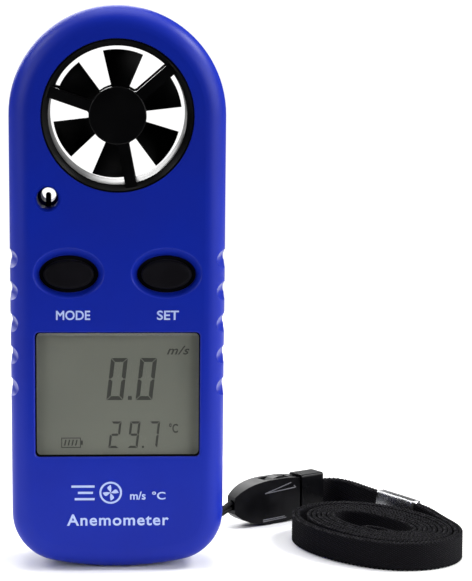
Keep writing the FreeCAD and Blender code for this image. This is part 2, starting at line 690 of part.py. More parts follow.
def controller_chip():
    """Chip under a round drop of black resin."""
    back = BOARD_Y + BOARD_T
    drop = Part.makeCone(CHIP_R[0], CHIP_R[1], CHIP_T, V(CHIP_X, back, CHIP_Z), V(0, 1, 0))
    top = [e for e in drop.Edges if len(e.Vertexes) == 1
           and abs(e.Vertexes[0].Y - back - CHIP_T) < 1e-6]
    return drop.makeFillet(CHIP_EDGE, top)


def board_parts():
    """Timing crystal and a row of resistors on the back of the board."""
    back = BOARD_Y + BOARD_T
    x0, x1, z0, z1 = CRYSTAL
    pieces = [box(x0, x1, back, back + CRYSTAL_T, z0, z1)]
    x0, x1, z0, z1 = RESISTOR
    for index in range(RESISTOR_COUNT):
        along = RESISTOR_PITCH * index
        pieces.append(box(x0 + along, x1 + along, back, back + RESISTOR_T, z0, z1))
    return Part.makeCompound(pieces)


def speed_sensor():
    """Flat magnetic pickup that stands from the board's edge towards the tunnel."""
    back = BOARD_Y + BOARD_T
    package = box(PICKUP_X[0], PICKUP_X[1], back, back + PICKUP_T, BOARD_Z1 - PICKUP_FOOT,
                  BOARD_Z1 + PICKUP_RISE)
    rim = [e for e in package.Edges if all(abs(v.Y - back - PICKUP_T) < 1e-6 for v in e.Vertexes)]
    return package.makeChamfer(PICKUP_EDGE, rim)


def battery_holder():
    """Round tray on the board, with a gap for the side contact."""
    back = BOARD_Y + BOARD_T
    inner = COIN_R + HOLDER_GAP
    wall = ring(inner + HOLDER_WALL, inner, 0, COIN_Z, back, COIN_Y + COIN_T * HOLDER_H)
    seat = ring(inner + HOLDER_WALL / 2, COIN_R - HOLDER_SEAT, 0, COIN_Z, back, COIN_Y)
    gate = box(COIN_R - HOLDER_SEAT - 1, COIN_R + HOLDER_WALL + 1, back - 1, BACK_Y,
               COIN_Z - GATE_HALF_W, COIN_Z + GATE_HALF_W)
    return fuse(wall, [seat]).cut(gate)


def coin_cell():
    cell = rod(COIN_R, 0, COIN_Z, COIN_Y, COIN_Y + COIN_T)
    return cell.makeFillet(CELL_EDGE, [e for e in cell.Edges if len(e.Vertexes) == 1])


def bent_strip(path, thickness, width, z):
    """Sheet-metal strip: a folded line in the XY plane, thickened and drawn along Z."""
    wire = Part.makePolygon([V(x, y, z - width / 2) for x, y in path])
    face = wire.makeOffset2D(thickness / 2, 2, False, False, False)
    return Part.Face(face).extrude(V(0, 0, width))


def battery_minus():
    """Sprung tongue under the cell."""
    back = BOARD_Y + BOARD_T + CONTACT_T / 2
    top = COIN_Y - CONTACT_T / 2 - CONTACT_GAP
    path = [(-6.0, back), (-1.0, back), (3.0, top), (5.0, top)]
    return bent_strip(path, CONTACT_T, CONTACT_W, COIN_Z)


def battery_plus():
    """Side contact against the rim of the cell."""
    back = BOARD_Y + BOARD_T + CONTACT_T / 2
    wall = COIN_R + CONTACT_T / 2 + 2 * CONTACT_GAP
    path = [(wall + 2.2, back), (wall, back), (wall, COIN_Y + COIN_T * 0.7)]
    return bent_strip(path, CONTACT_T, CONTACT_W, COIN_Z)


def bar_rod(radius):
    """Upright rod across the lanyard notch."""
    return Part.makeCylinder(radius, NOTCH_Z1 - NOTCH_Z0 + 2 * BAR_HOLD,
                             V(BAR_X, BACK_Y - BAR_SET, NOTCH_Z0 - BAR_HOLD))


def lanyard_bar():
    return bar_rod(BAR_R)


def along_buckle(shape):
    """Place a shape made in the buckle's frame: X from its tip, Y across, Z up."""
    shape.rotate(V(0, 0, 0), V(0, 0, 1), BUCKLE_YAW)
    return shape.translated(V(BUCKLE_TIP[0], BUCKLE_TIP[1], BUCKLE_Z))


def buckle_point(s):
    """Point of the buckle's axis, s from its tip."""
    angle = math.radians(BUCKLE_YAW)
    return (BUCKLE_TIP[0] + s * math.cos(angle), BUCKLE_TIP[1] + s * math.sin(angle))


def curved_plate(half_ends, low, high, up):
    """Plate whose outline is straight at its ends and bulges to its full size between."""
    tip, full, end, length = half_ends

    def at(s, h):
        return V(s, low, h) if up else V(s, h, low)

    sides = []
    for sign in (1, -1):
        run = [at(0, sign * tip), at(length * 0.14, sign * (tip + (full - tip) * 0.55)),
               at(length * 0.5, sign * full), at(length * 0.8, sign * full * 0.99),
               at(length, sign * end)]
        curve = Part.BSplineCurve()
        curve.interpolate(run)
        sides.append(curve.toShape())
    caps = [Part.makeLine(at(0, -tip), at(0, tip)), Part.makeLine(at(length, end), at(length, -end))]
    wire = Part.Wire(Part.__sortEdges__(sides + caps))
    thick = V(0, high - low, 0) if up else V(0, 0, high - low)
    return Part.Face(wire).extrude(thick)


def buckle_socket():
    """Female half: a bulged hollow body with an open mouth, two side windows and a cord eye."""
    tall = curved_plate((TIP_HALF_H, BUCKLE_HALF_H, SOCKET_END[0], SOCKET_L), -BUCKLE_HALF_T,
                        BUCKLE_HALF_T, True)
    wide = curved_plate((TIP_HALF_T, BUCKLE_HALF_T, SOCKET_END[1], SOCKET_L), -BUCKLE_HALF_H,
                        BUCKLE_HALF_H, False)
    body = tall.common(wide)
    half_n = BUCKLE_HALF_T - SOCKET_WALL
    half_w = BUCKLE_HALF_H - SOCKET_WALL - PART_GAP
    mouth = box(MOUTH_S, SOCKET_L + 1, -half_n, half_n, -half_w, half_w)
    windows = box(WINDOW_S[0], WINDOW_S[1], -half_n, half_n, -BUCKLE_HALF_H - 1, BUCKLE_HALF_H + 1)
    eye = Part.makeCylinder(EYE_R, EYE_DEPTH + 1, V(-1, 0, 0), V(1, 0, 0))
    return along_buckle(body.cut(mouth).cut(windows).cut(eye))


def buckle_plug():
    """Male half: strap block and centre tongue."""
    root = BUCKLE_L - BLOCK_L
    block = box(root, BUCKLE_L, -BUCKLE_HALF_T, BUCKLE_HALF_T, -BUCKLE_HALF_H, BUCKLE_HALF_H)
    block = block.makeFillet(BLOCK_EDGE, [e for e in block.Edges if abs(e.Length - BLOCK_L) < 0.01])
    half_n = BUCKLE_HALF_T - SOCKET_WALL - PART_GAP
    tongue = box(TONGUE_S, root + 0.5, -half_n, half_n, -TONGUE_HALF, TONGUE_HALF)
    slot_n, slot_w = STRAP_T / 2 + STRAP_GAP, STRAP_W / 2 + STRAP_GAP
    slot = box(BUCKLE_L - STRAP_SLOT, BUCKLE_L + 1, -slot_n, slot_n, -slot_w, slot_w)
    return along_buckle(fuse(block, [tongue]).cut(slot))


def prong(side):
    """Sprung arm of the plug, with the barb that fills a side window."""
    half_n = BUCKLE_HALF_T - SOCKET_WALL - PART_GAP
    root = BUCKLE_L - BLOCK_L - PART_GAP
    inner, outer = PRONG_IN, PRONG_IN + PRONG_T
    start, end = BARB_S
    hump = [(start + share * (end - start), outer + rise * (BARB_OUT - outer))
            for share, rise in BARB_RISE]
    points = [(PRONG_TIP, inner), (root, inner), (root, outer), (end, outer)]
    points += hump[::-1] + [(start, outer), (PRONG_TIP, outer - 0.4), (PRONG_TIP, inner)]
    face = Part.Face(Part.makePolygon([V(s, -half_n, side * w) for s, w in points]))
    return along_buckle(face.extrude(V(0, 2 * half_n, 0)))


def coil_axes():
    """Unit vectors of the coil's long and short axes."""
    angle = math.radians(COIL_YAW)
    return V(math.cos(angle), math.sin(angle), 0), V(-math.sin(angle), math.cos(angle), 0)


def strap_route():
    """Route of the strap from its slot in the buckle to the coil's first turn."""
    start, bend = buckle_point(BUCKLE_L - 2.5), buckle_point(BUCKLE_L + 3.0)
    points = [V(start[0], start[1], BUCKLE_Z), V(bend[0], bend[1], BUCKLE_Z)]
    points += [V(47.6, 35.7, 4.6), V(52.0, 28.9, 4.2), V(61.2, 17.9, 3.4), V(63.6, 11.4, STRAP_Z)]
    return points


def smooth_path(points):
    """Straight runs joined by the largest tangent arcs; returns the wire and its arc radii."""
    edges = []
    radii = []
    here = points[0]
    for before, corner, after in zip(points, points[1:], points[2:]):
        into, out = corner.sub(before), after.sub(corner)
        shorter = min(into.Length, out.Length)
        half = into.getAngle(out) / 2
        back = 0.45 * shorter
        radius = back / math.tan(half)
        into.normalize()
        out.normalize()
        start = corner.sub(V(into).multiply(back))
        end = corner.add(V(out).multiply(back))
        bisector = out.sub(into)
        bisector.normalize()
        centre = corner.add(bisector.multiply(radius / math.cos(half)))
        to_corner = corner.sub(centre)
        to_corner.normalize()
        middle = centre.add(to_corner.multiply(radius))
        edges.append(Part.LineSegment(here, start).toShape())
        edges.append(Part.Arc(start, middle, end).toShape())
        radii.append(round(radius, 1))
        here = end
    edges.append(Part.LineSegment(here, points[-1]).toShape())
    return Part.Wire(edges), radii


def sweep(name, path, section, upright):
    """Solid of a section along a path, with its volume checked against area times length."""
    shell = Part.BRepOffsetAPI.MakePipeShell(path)
    if upright:
        shell.setBiNormalMode(V(0, 0, 1))
    else:
        shell.setFrenetMode(False)
    shell.add(section)
    shell.build()
    shell.makeSolid()
    solid = shell.shape()
    expected = Part.Face(section).Area * path.Length
    print(name, "length", round(path.Length, 2), "volume ratio", round(solid.Volume / expected, 4))
    return solid


def loop_cord():
    points = [V(*point) for point in CORD_ROUTE]
    path, radii = smooth_path(points)
    print("loop_cord radii", radii)
    along = points[1].sub(points[0])
    section = Part.Wire([Part.makeCircle(CORD_D / 2, points[0], along)])
    return sweep("loop_cord", path, section, False)


def strap_lead():
    points = strap_route()
    path, radii = smooth_path(points)
    print("strap_lead radii", radii)
    along = points[1].sub(points[0])
    along.normalize()
    across = V(-along.y, along.x, 0).multiply(STRAP_T / 2)
    up = V(0, 0, STRAP_W / 2)
    start = points[0]
    corners = [start.add(across).add(up), start.sub(across).add(up), start.sub(across).sub(up),
               start.add(across).sub(up)]
    return sweep("strap_lead", path, Part.makePolygon(corners + corners[:1]), True)


def crimp():
    """Flat metal sleeve closed round the strap on its straight run."""
    points = strap_route()
    run = points[4].sub(points[3])
    middle = points[3].add(V(run).multiply(CRIMP_AT))
    run.normalize()
    across = V(-run.y, run.x, 0)
    across.normalize()
    up = run.cross(across)
    inner_t, inner_w = STRAP_T / 2 + FIT_GAP, STRAP_W / 2 + FIT_GAP
    half = CRIMP_L / 2
    outer = box(-half, half, -inner_t - CRIMP_WALL, inner_t + CRIMP_WALL, -inner_w - CRIMP_WALL,
                inner_w + CRIMP_WALL)
    outer = outer.makeFillet(CRIMP_EDGE, [e for e in outer.Edges if e.Length > CRIMP_L - 0.01])
    sleeve = outer.cut(box(-half - 1, half + 1, -inner_t, inner_t, -inner_w, inner_w))
    sleeve.Placement = FreeCAD.Placement(middle, FreeCAD.Rotation(run, across, up, "XYZ"))
    return sleeve


def strap_coil():
    """Outer shape of the coiled strap, standing on its edge."""
    long_axis, short_axis = coil_axes()
    centre = V(COIL_X, COIL_Y, 0)
    rim = Part.Ellipse(centre.add(V(long_axis).multiply(COIL_A)),
                       centre.add(V(short_axis).multiply(COIL_B)), centre)
    coil = Part.Face(Part.Wire([rim.toShape()])).extrude(V(0, 0, STRAP_W))
    return coil.makeChamfer(COIL_EDGE, [e for e in coil.Edges if len(e.Vertexes) == 1])


NODES = {
    "front_case": front_case,
    "rear_case": rear_case,
    "battery_cover": battery_cover,
    "case_screws": case_screws,
    "front_guard": lambda: guard(True),
    "rear_guard": lambda: guard(False),
    "front_bush": lambda: bush(True),
    "rear_bush": lambda: bush(False),
    "impeller": impeller,
    "impeller_shaft": impeller_shaft,
    "rotor_magnet": rotor_magnet,
    "thermistor": thermistor,
    "display_window": display_window,
    "display_cell": display_cell,
    "display_frame": display_frame,
    "zebra_strips": zebra_strips,
    "mode_button": lambda: button(-1),
    "set_button": lambda: button(1),
    "button_switches": button_switches,
    "main_board": main_board,
    "board_screws": board_screws,
    "controller_chip": controller_chip,
    "board_parts": board_parts,
    "speed_sensor": speed_sensor,
    "battery_holder": battery_holder,
    "coin_cell": coin_cell,
    "battery_minus": battery_minus,
    "battery_plus": battery_plus,
    "lanyard_bar": lanyard_bar,
    "loop_cord": loop_cord,
    "buckle_socket": buckle_socket,
    "buckle_plug": buckle_plug,
    "upper_prong": lambda: prong(1),
    "lower_prong": lambda: prong(-1),
    "strap_lead": strap_lead,
    "crimp": crimp,
    "strap_coil": strap_coil,
}

os.makedirs("parts", exist_ok=True)
for node, build in NODES.items():
    shape = build()
    print(node, "solids", len(shape.Solids), "volume", round(shape.Volume, 2), "valid", shape.isValid())
    shape.exportStep("parts/" + node + ".step")
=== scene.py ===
"""Pocket vane anemometer with a neck lanyard: finishes, printing, display and lanyard.

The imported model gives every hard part. This script dresses those parts, prints the front, draws
the display's segments and lays the loop cord and the folded neck strap. Fields hold millimetres,
with X to the right, Y to the back and Z up, and MM turns them to Blender's metres.
"""

from __future__ import annotations

import logging
import math
from dataclasses import dataclass
from enum import Enum
from typing import Any, Sequence

import bpy
import numpy as np
from mathutils import Matrix, Vector


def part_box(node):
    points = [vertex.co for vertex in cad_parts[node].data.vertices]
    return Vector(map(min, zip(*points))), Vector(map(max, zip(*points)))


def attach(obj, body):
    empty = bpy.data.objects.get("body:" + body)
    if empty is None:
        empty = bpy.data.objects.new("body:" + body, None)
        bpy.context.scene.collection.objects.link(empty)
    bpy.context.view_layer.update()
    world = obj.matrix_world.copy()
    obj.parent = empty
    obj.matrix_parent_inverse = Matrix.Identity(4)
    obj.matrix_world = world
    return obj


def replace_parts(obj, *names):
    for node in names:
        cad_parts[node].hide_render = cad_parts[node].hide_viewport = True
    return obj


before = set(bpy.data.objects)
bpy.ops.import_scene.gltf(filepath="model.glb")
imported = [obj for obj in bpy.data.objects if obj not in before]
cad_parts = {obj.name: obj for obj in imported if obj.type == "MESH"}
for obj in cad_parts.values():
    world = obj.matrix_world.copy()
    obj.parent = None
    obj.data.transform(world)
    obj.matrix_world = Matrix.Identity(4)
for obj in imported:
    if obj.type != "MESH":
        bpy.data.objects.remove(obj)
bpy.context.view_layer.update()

LOG = logging.getLogger("anemometer")
MM = 0.001
UV_NAME = "lie"

HOUSING = "housing"
SPLINE_ORDER = 3
SPLINE_STEPS = 16

Point = tuple[float, float, float]
Flat = tuple[float, float]


class Slot(Enum):
    """Material slots of the pieces that this script makes."""

    CASE = "case_blue"
    BLACK = "black_plastic"
    BUCKLE = "buckle_plastic"
    DISPLAY = "lcd_glass"
    CORD = "cord"
    STRAP = "strap"
    CRIMP = "crimp_metal"


def linear(colour: str) -> tuple[float, float, float, float]:
    """Turn an sRGB hex value to a linear colour.

    Args:
        colour: Six hex digits after a hash sign.

    Returns:
        Linear red, green and blue, with an alpha of 1.
    """
    parts = [int(colour[i:i + 2], 16) / 255 for i in (1, 3, 5)]
    red, green, blue = [c / 12.92 if c <= 0.04045 else ((c + 0.055) / 1.055) ** 2.4 for c in parts]
    return red, green, blue, 1.0


def add(tree: bpy.types.NodeTree, kind: str, inputs: dict[Any, Any] | None = None,
        **settings: Any) -> bpy.types.Node:
    """Add a node, set its properties, and set or link its inputs.

    Args:
        tree: The node tree that gets the node.
        kind: The node's type name.
        inputs: For each input, by name or number, a value or the socket that feeds it.
        settings: The node's properties.

    Returns:
        The new node.
    """
    node = tree.nodes.new(kind)
    for name, value in settings.items():
        setattr(node, name, value)
    for name, value in (inputs or {}).items():
        if isinstance(value, bpy.types.NodeSocket):
            tree.links.new(value, node.inputs[name])
        else:
            node.inputs[name].default_value = value
    return node


def ramp(tree: bpy.types.NodeTree, value: bpy.types.NodeSocket, span: Flat,
         reach: Flat = (0.0, 1.0)) -> bpy.types.NodeSocket:
    """Map a value from one range to another, and hold it inside.

    Args:
        tree: The node tree.
        value: The socket that gives the value.
        span: The range it comes from.
        reach: The range it goes to.

    Returns:
        The socket of the mapped value.
    """
    return add(tree, "ShaderNodeMapRange",
               {"Value": value, "From Min": span[0], "From Max": span[1],
                "To Min": reach[0], "To Max": reach[1]}).outputs[0]


def place_object(name: str, mesh: bpy.types.Mesh) -> bpy.types.Object:
    """Make a piece of the housing from a mesh that is already in place.

    Args:
        name: The piece's name.
        mesh: Its mesh, in metres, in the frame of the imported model.

    Returns:
        The new object.
    """
    piece = bpy.data.objects.new(name, mesh)
    bpy.context.scene.collection.objects.link(piece)
    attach(piece, HOUSING)
    LOG.info("%s: %d faces", name, len(mesh.polygons))
    return piece


def plain_mesh(holder: bpy.types.Object) -> bpy.types.Mesh:
    """Turn an object and its modifiers into a plain mesh, and remove the object.

    Args:
        holder: A mesh, curve or text object.

    Returns:
        The evaluated mesh.
    """
    if holder.name not in bpy.context.scene.collection.objects:
        bpy.context.scene.collection.objects.link(holder)
    graph = bpy.context.evaluated_depsgraph_get()
    mesh = bpy.data.meshes.new_from_object(holder.evaluated_get(graph), depsgraph=graph)
    bpy.data.objects.remove(holder)
    return mesh


# ---- finishes ----


@dataclass(frozen=True)
class Finish:
    """A solid material and how its face was made, with an even random grain.

    Colours are sRGB hex values, and lengths are in millimetres.
    """

    name: str
    colour: str
    roughness: float
    specular: float = 0.5
    metallic: float = 0.0
    ior: float = 1.5
    grain: float = 0.3
    depth: float = 0.004
    tone: str = ""
    tone_size: float = 9.0
    polish: float = 0.06
    patch_span: Flat = (0.3, 0.7)
    tone_span: Flat = (0.35, 0.75)
    stretch: Point = (1.0, 1.0, 1.0)
    coat: float = 0.0
    sheen: float = 0.0

    def build(self) -> bpy.types.Material:
        """Make the material, or give back the one that is already made."""
        known = bpy.data.materials.get(self.name)
        if known is not None:
            return known
        material = bpy.data.materials.new(self.name)
        material.use_nodes = True
        tree = material.node_tree
        tree.nodes.clear()
        shader = self.shader(tree)
        add(tree, "ShaderNodeOutputMaterial", {"Surface": shader})
        return material

    def shader(self, tree: bpy.types.NodeTree) -> bpy.types.NodeSocket:
        """Build the surface shader.

        Args:
            tree: The material's node tree.

        Returns:
            The shader's output socket.
        """
        at = self.coordinates(tree)
        height = self.relief(tree, at)
        patches = add(tree, "ShaderNodeTexNoise",
                      {"Vector": at, "Scale": 1 / (self.tone_size * MM), "Detail": 3.0})
        colour = add(tree, "ShaderNodeMix",
                     {"Factor": self.tone_share(tree, patches.outputs["Fac"], height),
                      "A": linear(self.colour), "B": linear(self.tone or self.colour)},
                     data_type="RGBA")
        roughness = ramp(tree, patches.outputs["Fac"], self.patch_span,
                         (self.roughness - self.polish, self.roughness + self.polish))
        bump = add(tree, "ShaderNodeBump", {"Height": height, "Distance": self.depth * MM})
        return add(tree, "ShaderNodeBsdfPrincipled",
                   {"Base Color": colour.outputs["Result"], "Roughness": roughness,
                    "Normal": bump.outputs[0], "Metallic": self.metallic, "IOR": self.ior,
                    "Specular IOR Level": self.specular, "Coat Weight": self.coat,
                    "Sheen Weight": self.sheen}).outputs[0]

    def coordinates(self, tree: bpy.types.NodeTree) -> bpy.types.NodeSocket:
        """Give the pattern's coordinates: the frame's own, in metres, stretched by the finish."""
        source = add(tree, "ShaderNodeTexCoord")
        return add(tree, "ShaderNodeMapping",
                   {"Vector": source.outputs["Object"], "Scale": self.stretch}).outputs[0]

    def relief(self, tree: bpy.types.NodeTree, at: bpy.types.NodeSocket) -> bpy.types.NodeSocket:
        """Give the height of the surface's grain, from 0 to 1."""
        return add(tree, "ShaderNodeTexNoise",
                   {"Vector": at, "Scale": 1 / (self.grain * MM), "Detail": 4.0,
                    "Roughness": 0.6}).outputs["Fac"]

    def tone_share(self, tree: bpy.types.NodeTree, patches: bpy.types.NodeSocket,
                   height: bpy.types.NodeSocket) -> bpy.types.NodeSocket:
        """Give how far the colour goes to the second tone, from 0 to 1."""
        return ramp(tree, patches, self.tone_span)


@dataclass(frozen=True)
class Woven(Finish):
    """Yarn that follows the piece's own length and width, with painted shade in the gaps between
    threads and painted highlight on their tops.
    """

    lean: float = 45.0
    bands: float = 0.314
    unevenness: float = 0.4
    gap_shade_power: float = 1.4

    def coordinates(self, tree: bpy.types.NodeTree) -> bpy.types.NodeSocket:
        """Give the distance along and across the piece, in metres."""
        return add(tree, "ShaderNodeUVMap", uv_map=UV_NAME).outputs[0]

    def relief(self, tree: bpy.types.NodeTree, at: bpy.types.NodeSocket) -> bpy.types.NodeSocket:
        """Give the height of two crossing sets of threads."""
        threads = []
        for turn in (self.lean, -self.lean):
            turned = add(tree, "ShaderNodeMapping",
                         {"Vector": at, "Rotation": (0.0, 0.0, math.radians(turn))})
            threads.append(add(tree, "ShaderNodeTexWave",
                               {"Vector": turned.outputs[0], "Distortion": self.unevenness,
                                "Scale": self.bands / (self.grain * MM),
                                "Detail": 1.0}).outputs["Fac"])
        return add(tree, "ShaderNodeMath", {0: threads[0], 1: threads[1]},
                   operation="MULTIPLY").outputs[0]

    def tone_share(self, tree: bpy.types.NodeTree, patches: bpy.types.NodeSocket,
                   height: bpy.types.NodeSocket) -> bpy.types.NodeSocket:
        """Paint the lighter tone on the tops of the threads as painted highlight, and the darker
        colour in the gaps as painted shade.
        """
        return add(tree, "ShaderNodeMath", {0: height, 1: self.gap_shade_power},
                   operation="POWER").outputs[0]


@dataclass(frozen=True)
class ClearLens(Finish):
    """Clear acrylic that lets lamps through, so what lies behind it is lit."""

    def shader(self, tree: bpy.types.NodeTree) -> bpy.types.NodeSocket:
        """Build smooth glass for sight and a clear pane for the lamps' shadow rays."""
        at = self.coordinates(tree)
        bump = add(tree, "ShaderNodeBump",
                   {"Height": self.relief(tree, at), "Distance": self.depth * MM})
        lens = add(tree, "ShaderNodeBsdfPrincipled",
                   {"Base Color": linear(self.colour), "Roughness": self.roughness,
                    "IOR": self.ior, "Transmission Weight": 1.0,
                    "Specular IOR Level": self.specular, "Normal": bump.outputs[0]})
        clear = add(tree, "ShaderNodeBsdfTransparent", {"Color": linear(self.colour)})
        path = add(tree, "ShaderNodeLightPath")
        return add(tree, "ShaderNodeMixShader",
                   {"Fac": path.outputs["Is Shadow Ray"], 1: lens.outputs[0],
                    2: clear.outputs[0]}).outputs[0]


# ABS moulded against a spark-eroded tool: an even satin face with a fine pebble.
CASE_BLUE = Finish("abs_moulded_blue", "#0A2399", 0.42, specular=0.18, grain=0.32, depth=0.006,
                   tone="#091F91", tone_size=14.0, polish=0.04)
# The same ABS in black, from a smoother tool, so edges catch a thin light line.
GUARD_BLACK = Finish("abs_moulded_black", "#030304", 0.34, specular=0.14, grain=0.4, depth=0.003,
                     tone="#070708")
# Polished acetal: slippery and nearly black, with a soft gloss.
ROTOR_BLACK = Finish("acetal_moulded_black", "#030304", 0.3, specular=0.15, grain=0.6, depth=0.002,
                     tone="#060607")
# Silicone rubber, moulded matt: black with a faint bloom.
BUTTON_RUBBER = Finish("silicone_moulded_matt", "#08070B", 0.6, specular=0.06, grain=0.2,
                       depth=0.005, tone="#0E0D12", tone_size=5.0, sheen=0.01)
# Glass-filled nylon buckle, moulded smooth: shiny black with light edges.
BUCKLE_BLACK = Finish("nylon_moulded_gloss", "#030305", 0.34, specular=0.12, grain=0.7, depth=0.004,
                      tone="#0D0D11", tone_size=6.0, polish=0.08)
# The same nylon painted light grey: painted highlight lines where the buckle's edges catch the
# light.
BUCKLE_HIGHLIGHT_PAINT = Finish("nylon_painted_highlight", "#77777D", 0.4, specular=0.3, grain=0.5, depth=0.002,
               tone="#5A5A60", tone_size=3.0)
# Black matt silicone: the real seal at the fan guard, and painted shadow round the display window.
SEAL_AND_SHADOW_BLACK = Finish("silicone_black_seal_and_shadow", "#020204", 0.6, specular=0.05, grain=0.4, depth=0.002,
                tone="#040406")
# Turned steel: fine rings and a grey shine.
STEEL = Finish("steel_turned", "#A4A6A8", 0.32, metallic=1.0, grain=0.5, depth=0.003,
               tone="#8E9092", stretch=(1.0, 6.0, 1.0))
# Sintered bronze bearing: dull yellow brown.
BRONZE = Finish("bronze_sintered", "#9A7A45", 0.45, metallic=1.0, grain=0.2, depth=0.006,
                tone="#806235")
# Ferrite ring: charcoal ceramic.
FERRITE = Finish("ferrite_sintered", "#2A2A2D", 0.55, grain=0.25, depth=0.006, tone="#222225")
# Epoxy dip round the temperature bead: glossy black drop.
BEAD_EPOXY = Finish("epoxy_dipped", "#0A0A0B", 0.16, grain=0.8, depth=0.004, tone="#101012")
# Moulded acrylic lens: clear, with a slight grey.
LENS = ClearLens("acrylic_moulded_clear", "#F2F3F1", 0.02, ior=1.49, grain=6.0, depth=0.002)
# Liquid crystal behind a polariser: matt grey with a green cast.
CELL_GREY = Finish("polariser_matt", "#7A7B74", 0.6, specular=0.2, grain=0.1, depth=0.001,
                   tone="#74756F", tone_size=16.0)
# Energised crystal: dark grey, a little soft.
SEGMENT_GREY = Finish("liquid_crystal_dark", "#41423F", 0.6, specular=0.2, grain=0.1,
                      depth=0.001, tone="#454643")
# Pad-printed ink: pale blue-white, slightly raised and satin.
INK = Finish("ink_pad_printed", "#B4C2E6", 0.5, specular=0.3, grain=0.12, depth=0.004,
             tone="#A3B6EC", tone_size=2.0)
# Layered silicone connector: grey with fine dark stripes.
ZEBRA = Finish("silicone_striped", "#3A3A3E", 0.6, grain=0.2, depth=0.004, tone="#88888C",
               tone_size=0.4, stretch=(6.0, 1.0, 1.0))
# Glass-epoxy board under green lacquer.
BOARD = Finish("glass_epoxy_lacquered", "#14512B", 0.35, grain=0.5, depth=0.01, tone="#1C6A3A",
               tone_size=1.4, coat=0.3)
# Moulded epoxy packages: matt black.
PACKAGE = Finish("epoxy_moulded", "#17171A", 0.5, grain=0.2, depth=0.006, tone="#202024")
# Nickel-plated steel shell of the coin cell.
CELL_STEEL = Finish("nickel_plated_drawn", "#C4C5C6", 0.25, metallic=1.0, grain=0.4, depth=0.002,
                    tone="#B0B2B3", stretch=(1.0, 4.0, 1.0))
# Tin-plated spring steel of the contacts.
CONTACT = Finish("spring_steel_tinned", "#B4B6B8", 0.35, metallic=1.0, grain=0.5, depth=0.003,
                 tone="#9A9C9F")
# Pressed nickel-plated crimp: bright, with press marks along it.
CRIMP = Finish("nickel_plated_pressed", "#C8C9CB", 0.24, metallic=1.0, grain=0.7, depth=0.002,
               tone="#AFB0B3", tone_size=2.5)
# Seamless background paper: matt white, without relief.
PAPER = Finish("paper_matt_white", "#F6F6F5", 0.9, specular=0.05, grain=0.5, depth=0.0,
               tone="#F4F4F3")
# Braided polyester cord: fine black yarn with a dull sheen, its thread tops painted lighter as
# painted highlight over painted shade in the gaps.
CORD = Woven("polyester_braided", "#060608", 0.6, specular=0.2, grain=0.28, depth=0.05,
             tone="#141418")
# Flat woven polyester strap: black yarn with grey painted highlight on the thread tops; the gaps
# between stay black as painted shade.
STRAP = Woven("polyester_woven_flat", "#010102", 0.62, specular=0.08, grain=0.36, depth=0.15,
              tone="#211F28", lean=60.0)


# ---- what repeats ----


@dataclass(frozen=True)
class Repeater:
    """Copies of one small shape along a line or round an axis, made by Geometry Nodes."""

    count: int
    step: Point = (0.0, 0.0, 0.0)
    turn: Point = (0.0, 0.0, 0.0)

    def tree(self) -> bpy.types.GeometryNodeTree:
        """Build the node tree that copies its input, or give back the one already built."""
        name = "copies_in_a_row"
        known = bpy.data.node_groups.get(name)
        if known is not None:
            return known
        tree = bpy.data.node_groups.new(name, "GeometryNodeTree")
        for label, kind in (("Shape", "NodeSocketGeometry"), ("Count", "NodeSocketInt"),
                            ("Step", "NodeSocketVector"), ("Turn", "NodeSocketVector"),
                            ("Finish", "NodeSocketMaterial")):
            tree.interface.new_socket(label, in_out="INPUT", socket_type=kind)
        tree.interface.new_socket("Copies", in_out="OUTPUT", socket_type="NodeSocketGeometry")
        given = add(tree, "NodeGroupInput").outputs
        row = add(tree, "GeometryNodeMeshLine", {"Count": given["Count"], "Offset": given["Step"]})
        index = add(tree, "GeometryNodeInputIndex")
        turn = add(tree, "ShaderNodeVectorMath", {0: given["Turn"], 1: index.outputs[0]},
                   operation="MULTIPLY")
        copies = add(tree, "GeometryNodeInstanceOnPoints",
                     {"Points": row.outputs[0], "Instance": given["Shape"],
                      "Rotation": turn.outputs[0]})
        real = add(tree, "GeometryNodeRealizeInstances", {0: copies.outputs[0]})
        dressed = add(tree, "GeometryNodeSetMaterial",
                      {"Geometry": real.outputs[0], "Material": given["Finish"]})
        add(tree, "NodeGroupOutput", {0: dressed.outputs[0]})
        return tree

    def make(self, shape: bpy.types.Mesh, finish: Finish, place: Point) -> bpy.types.Mesh:
        """Copy a shape and move the row to its place.

        Args:
            shape: The shape, in metres about the first copy's origin.
            finish: The finish of every copy.
            place: Where the first copy's origin goes, in millimetres.

        Returns:
            One plain mesh of all the copies.
        """
        holder = bpy.data.objects.new("row", shape)
        modifier = holder.modifiers.new("copies", "NODES")
        modifier.node_group = self.tree()
        values = {"Count": self.count, "Step": [s * MM for s in self.step],
                  "Turn": [math.radians(t) for t in self.turn], "Finish": finish.build()}
        for item in modifier.node_group.interface.items_tree:
            if item.in_out == "INPUT" and item.name in values:
                modifier[item.identifier] = values[item.name]
        mesh = plain_mesh(holder)
        mesh.transform(Matrix.Translation(Vector(place) * MM))
        return mesh


def prism(outline: Sequence[Flat], y0: float, y1: float) -> bpy.types.Mesh:
    """Make a flat plate in the XZ plane from its outline.

    Args:
        outline: X and Z of its corners in millimetres, counter-clockwise from the front.
        y0: Y of its front face.
        y1: Y of its back face.

    Returns:
        A closed mesh in metres.
    """
    n = len(outline)
    verts = [(x * MM, y * MM, z * MM) for y in (y0, y1) for x, z in outline]
    sides = [(i, n + i, n + (i + 1) % n, (i + 1) % n) for i in range(n)]
    mesh = bpy.data.meshes.new("plate")
    mesh.from_pydata(verts, [], [tuple(range(n)), tuple(range(2 * n - 1, n - 1, -1))] + sides)
    mesh.update()
    return mesh


def bar(x0: float, x1: float, z0: float, z1: float, faces: Flat) -> bpy.types.Mesh:
    """Make an upright bar between two faces, given as in prism."""
    return prism([(x0, z0), (x1, z0), (x1, z1), (x0, z1)], *faces)


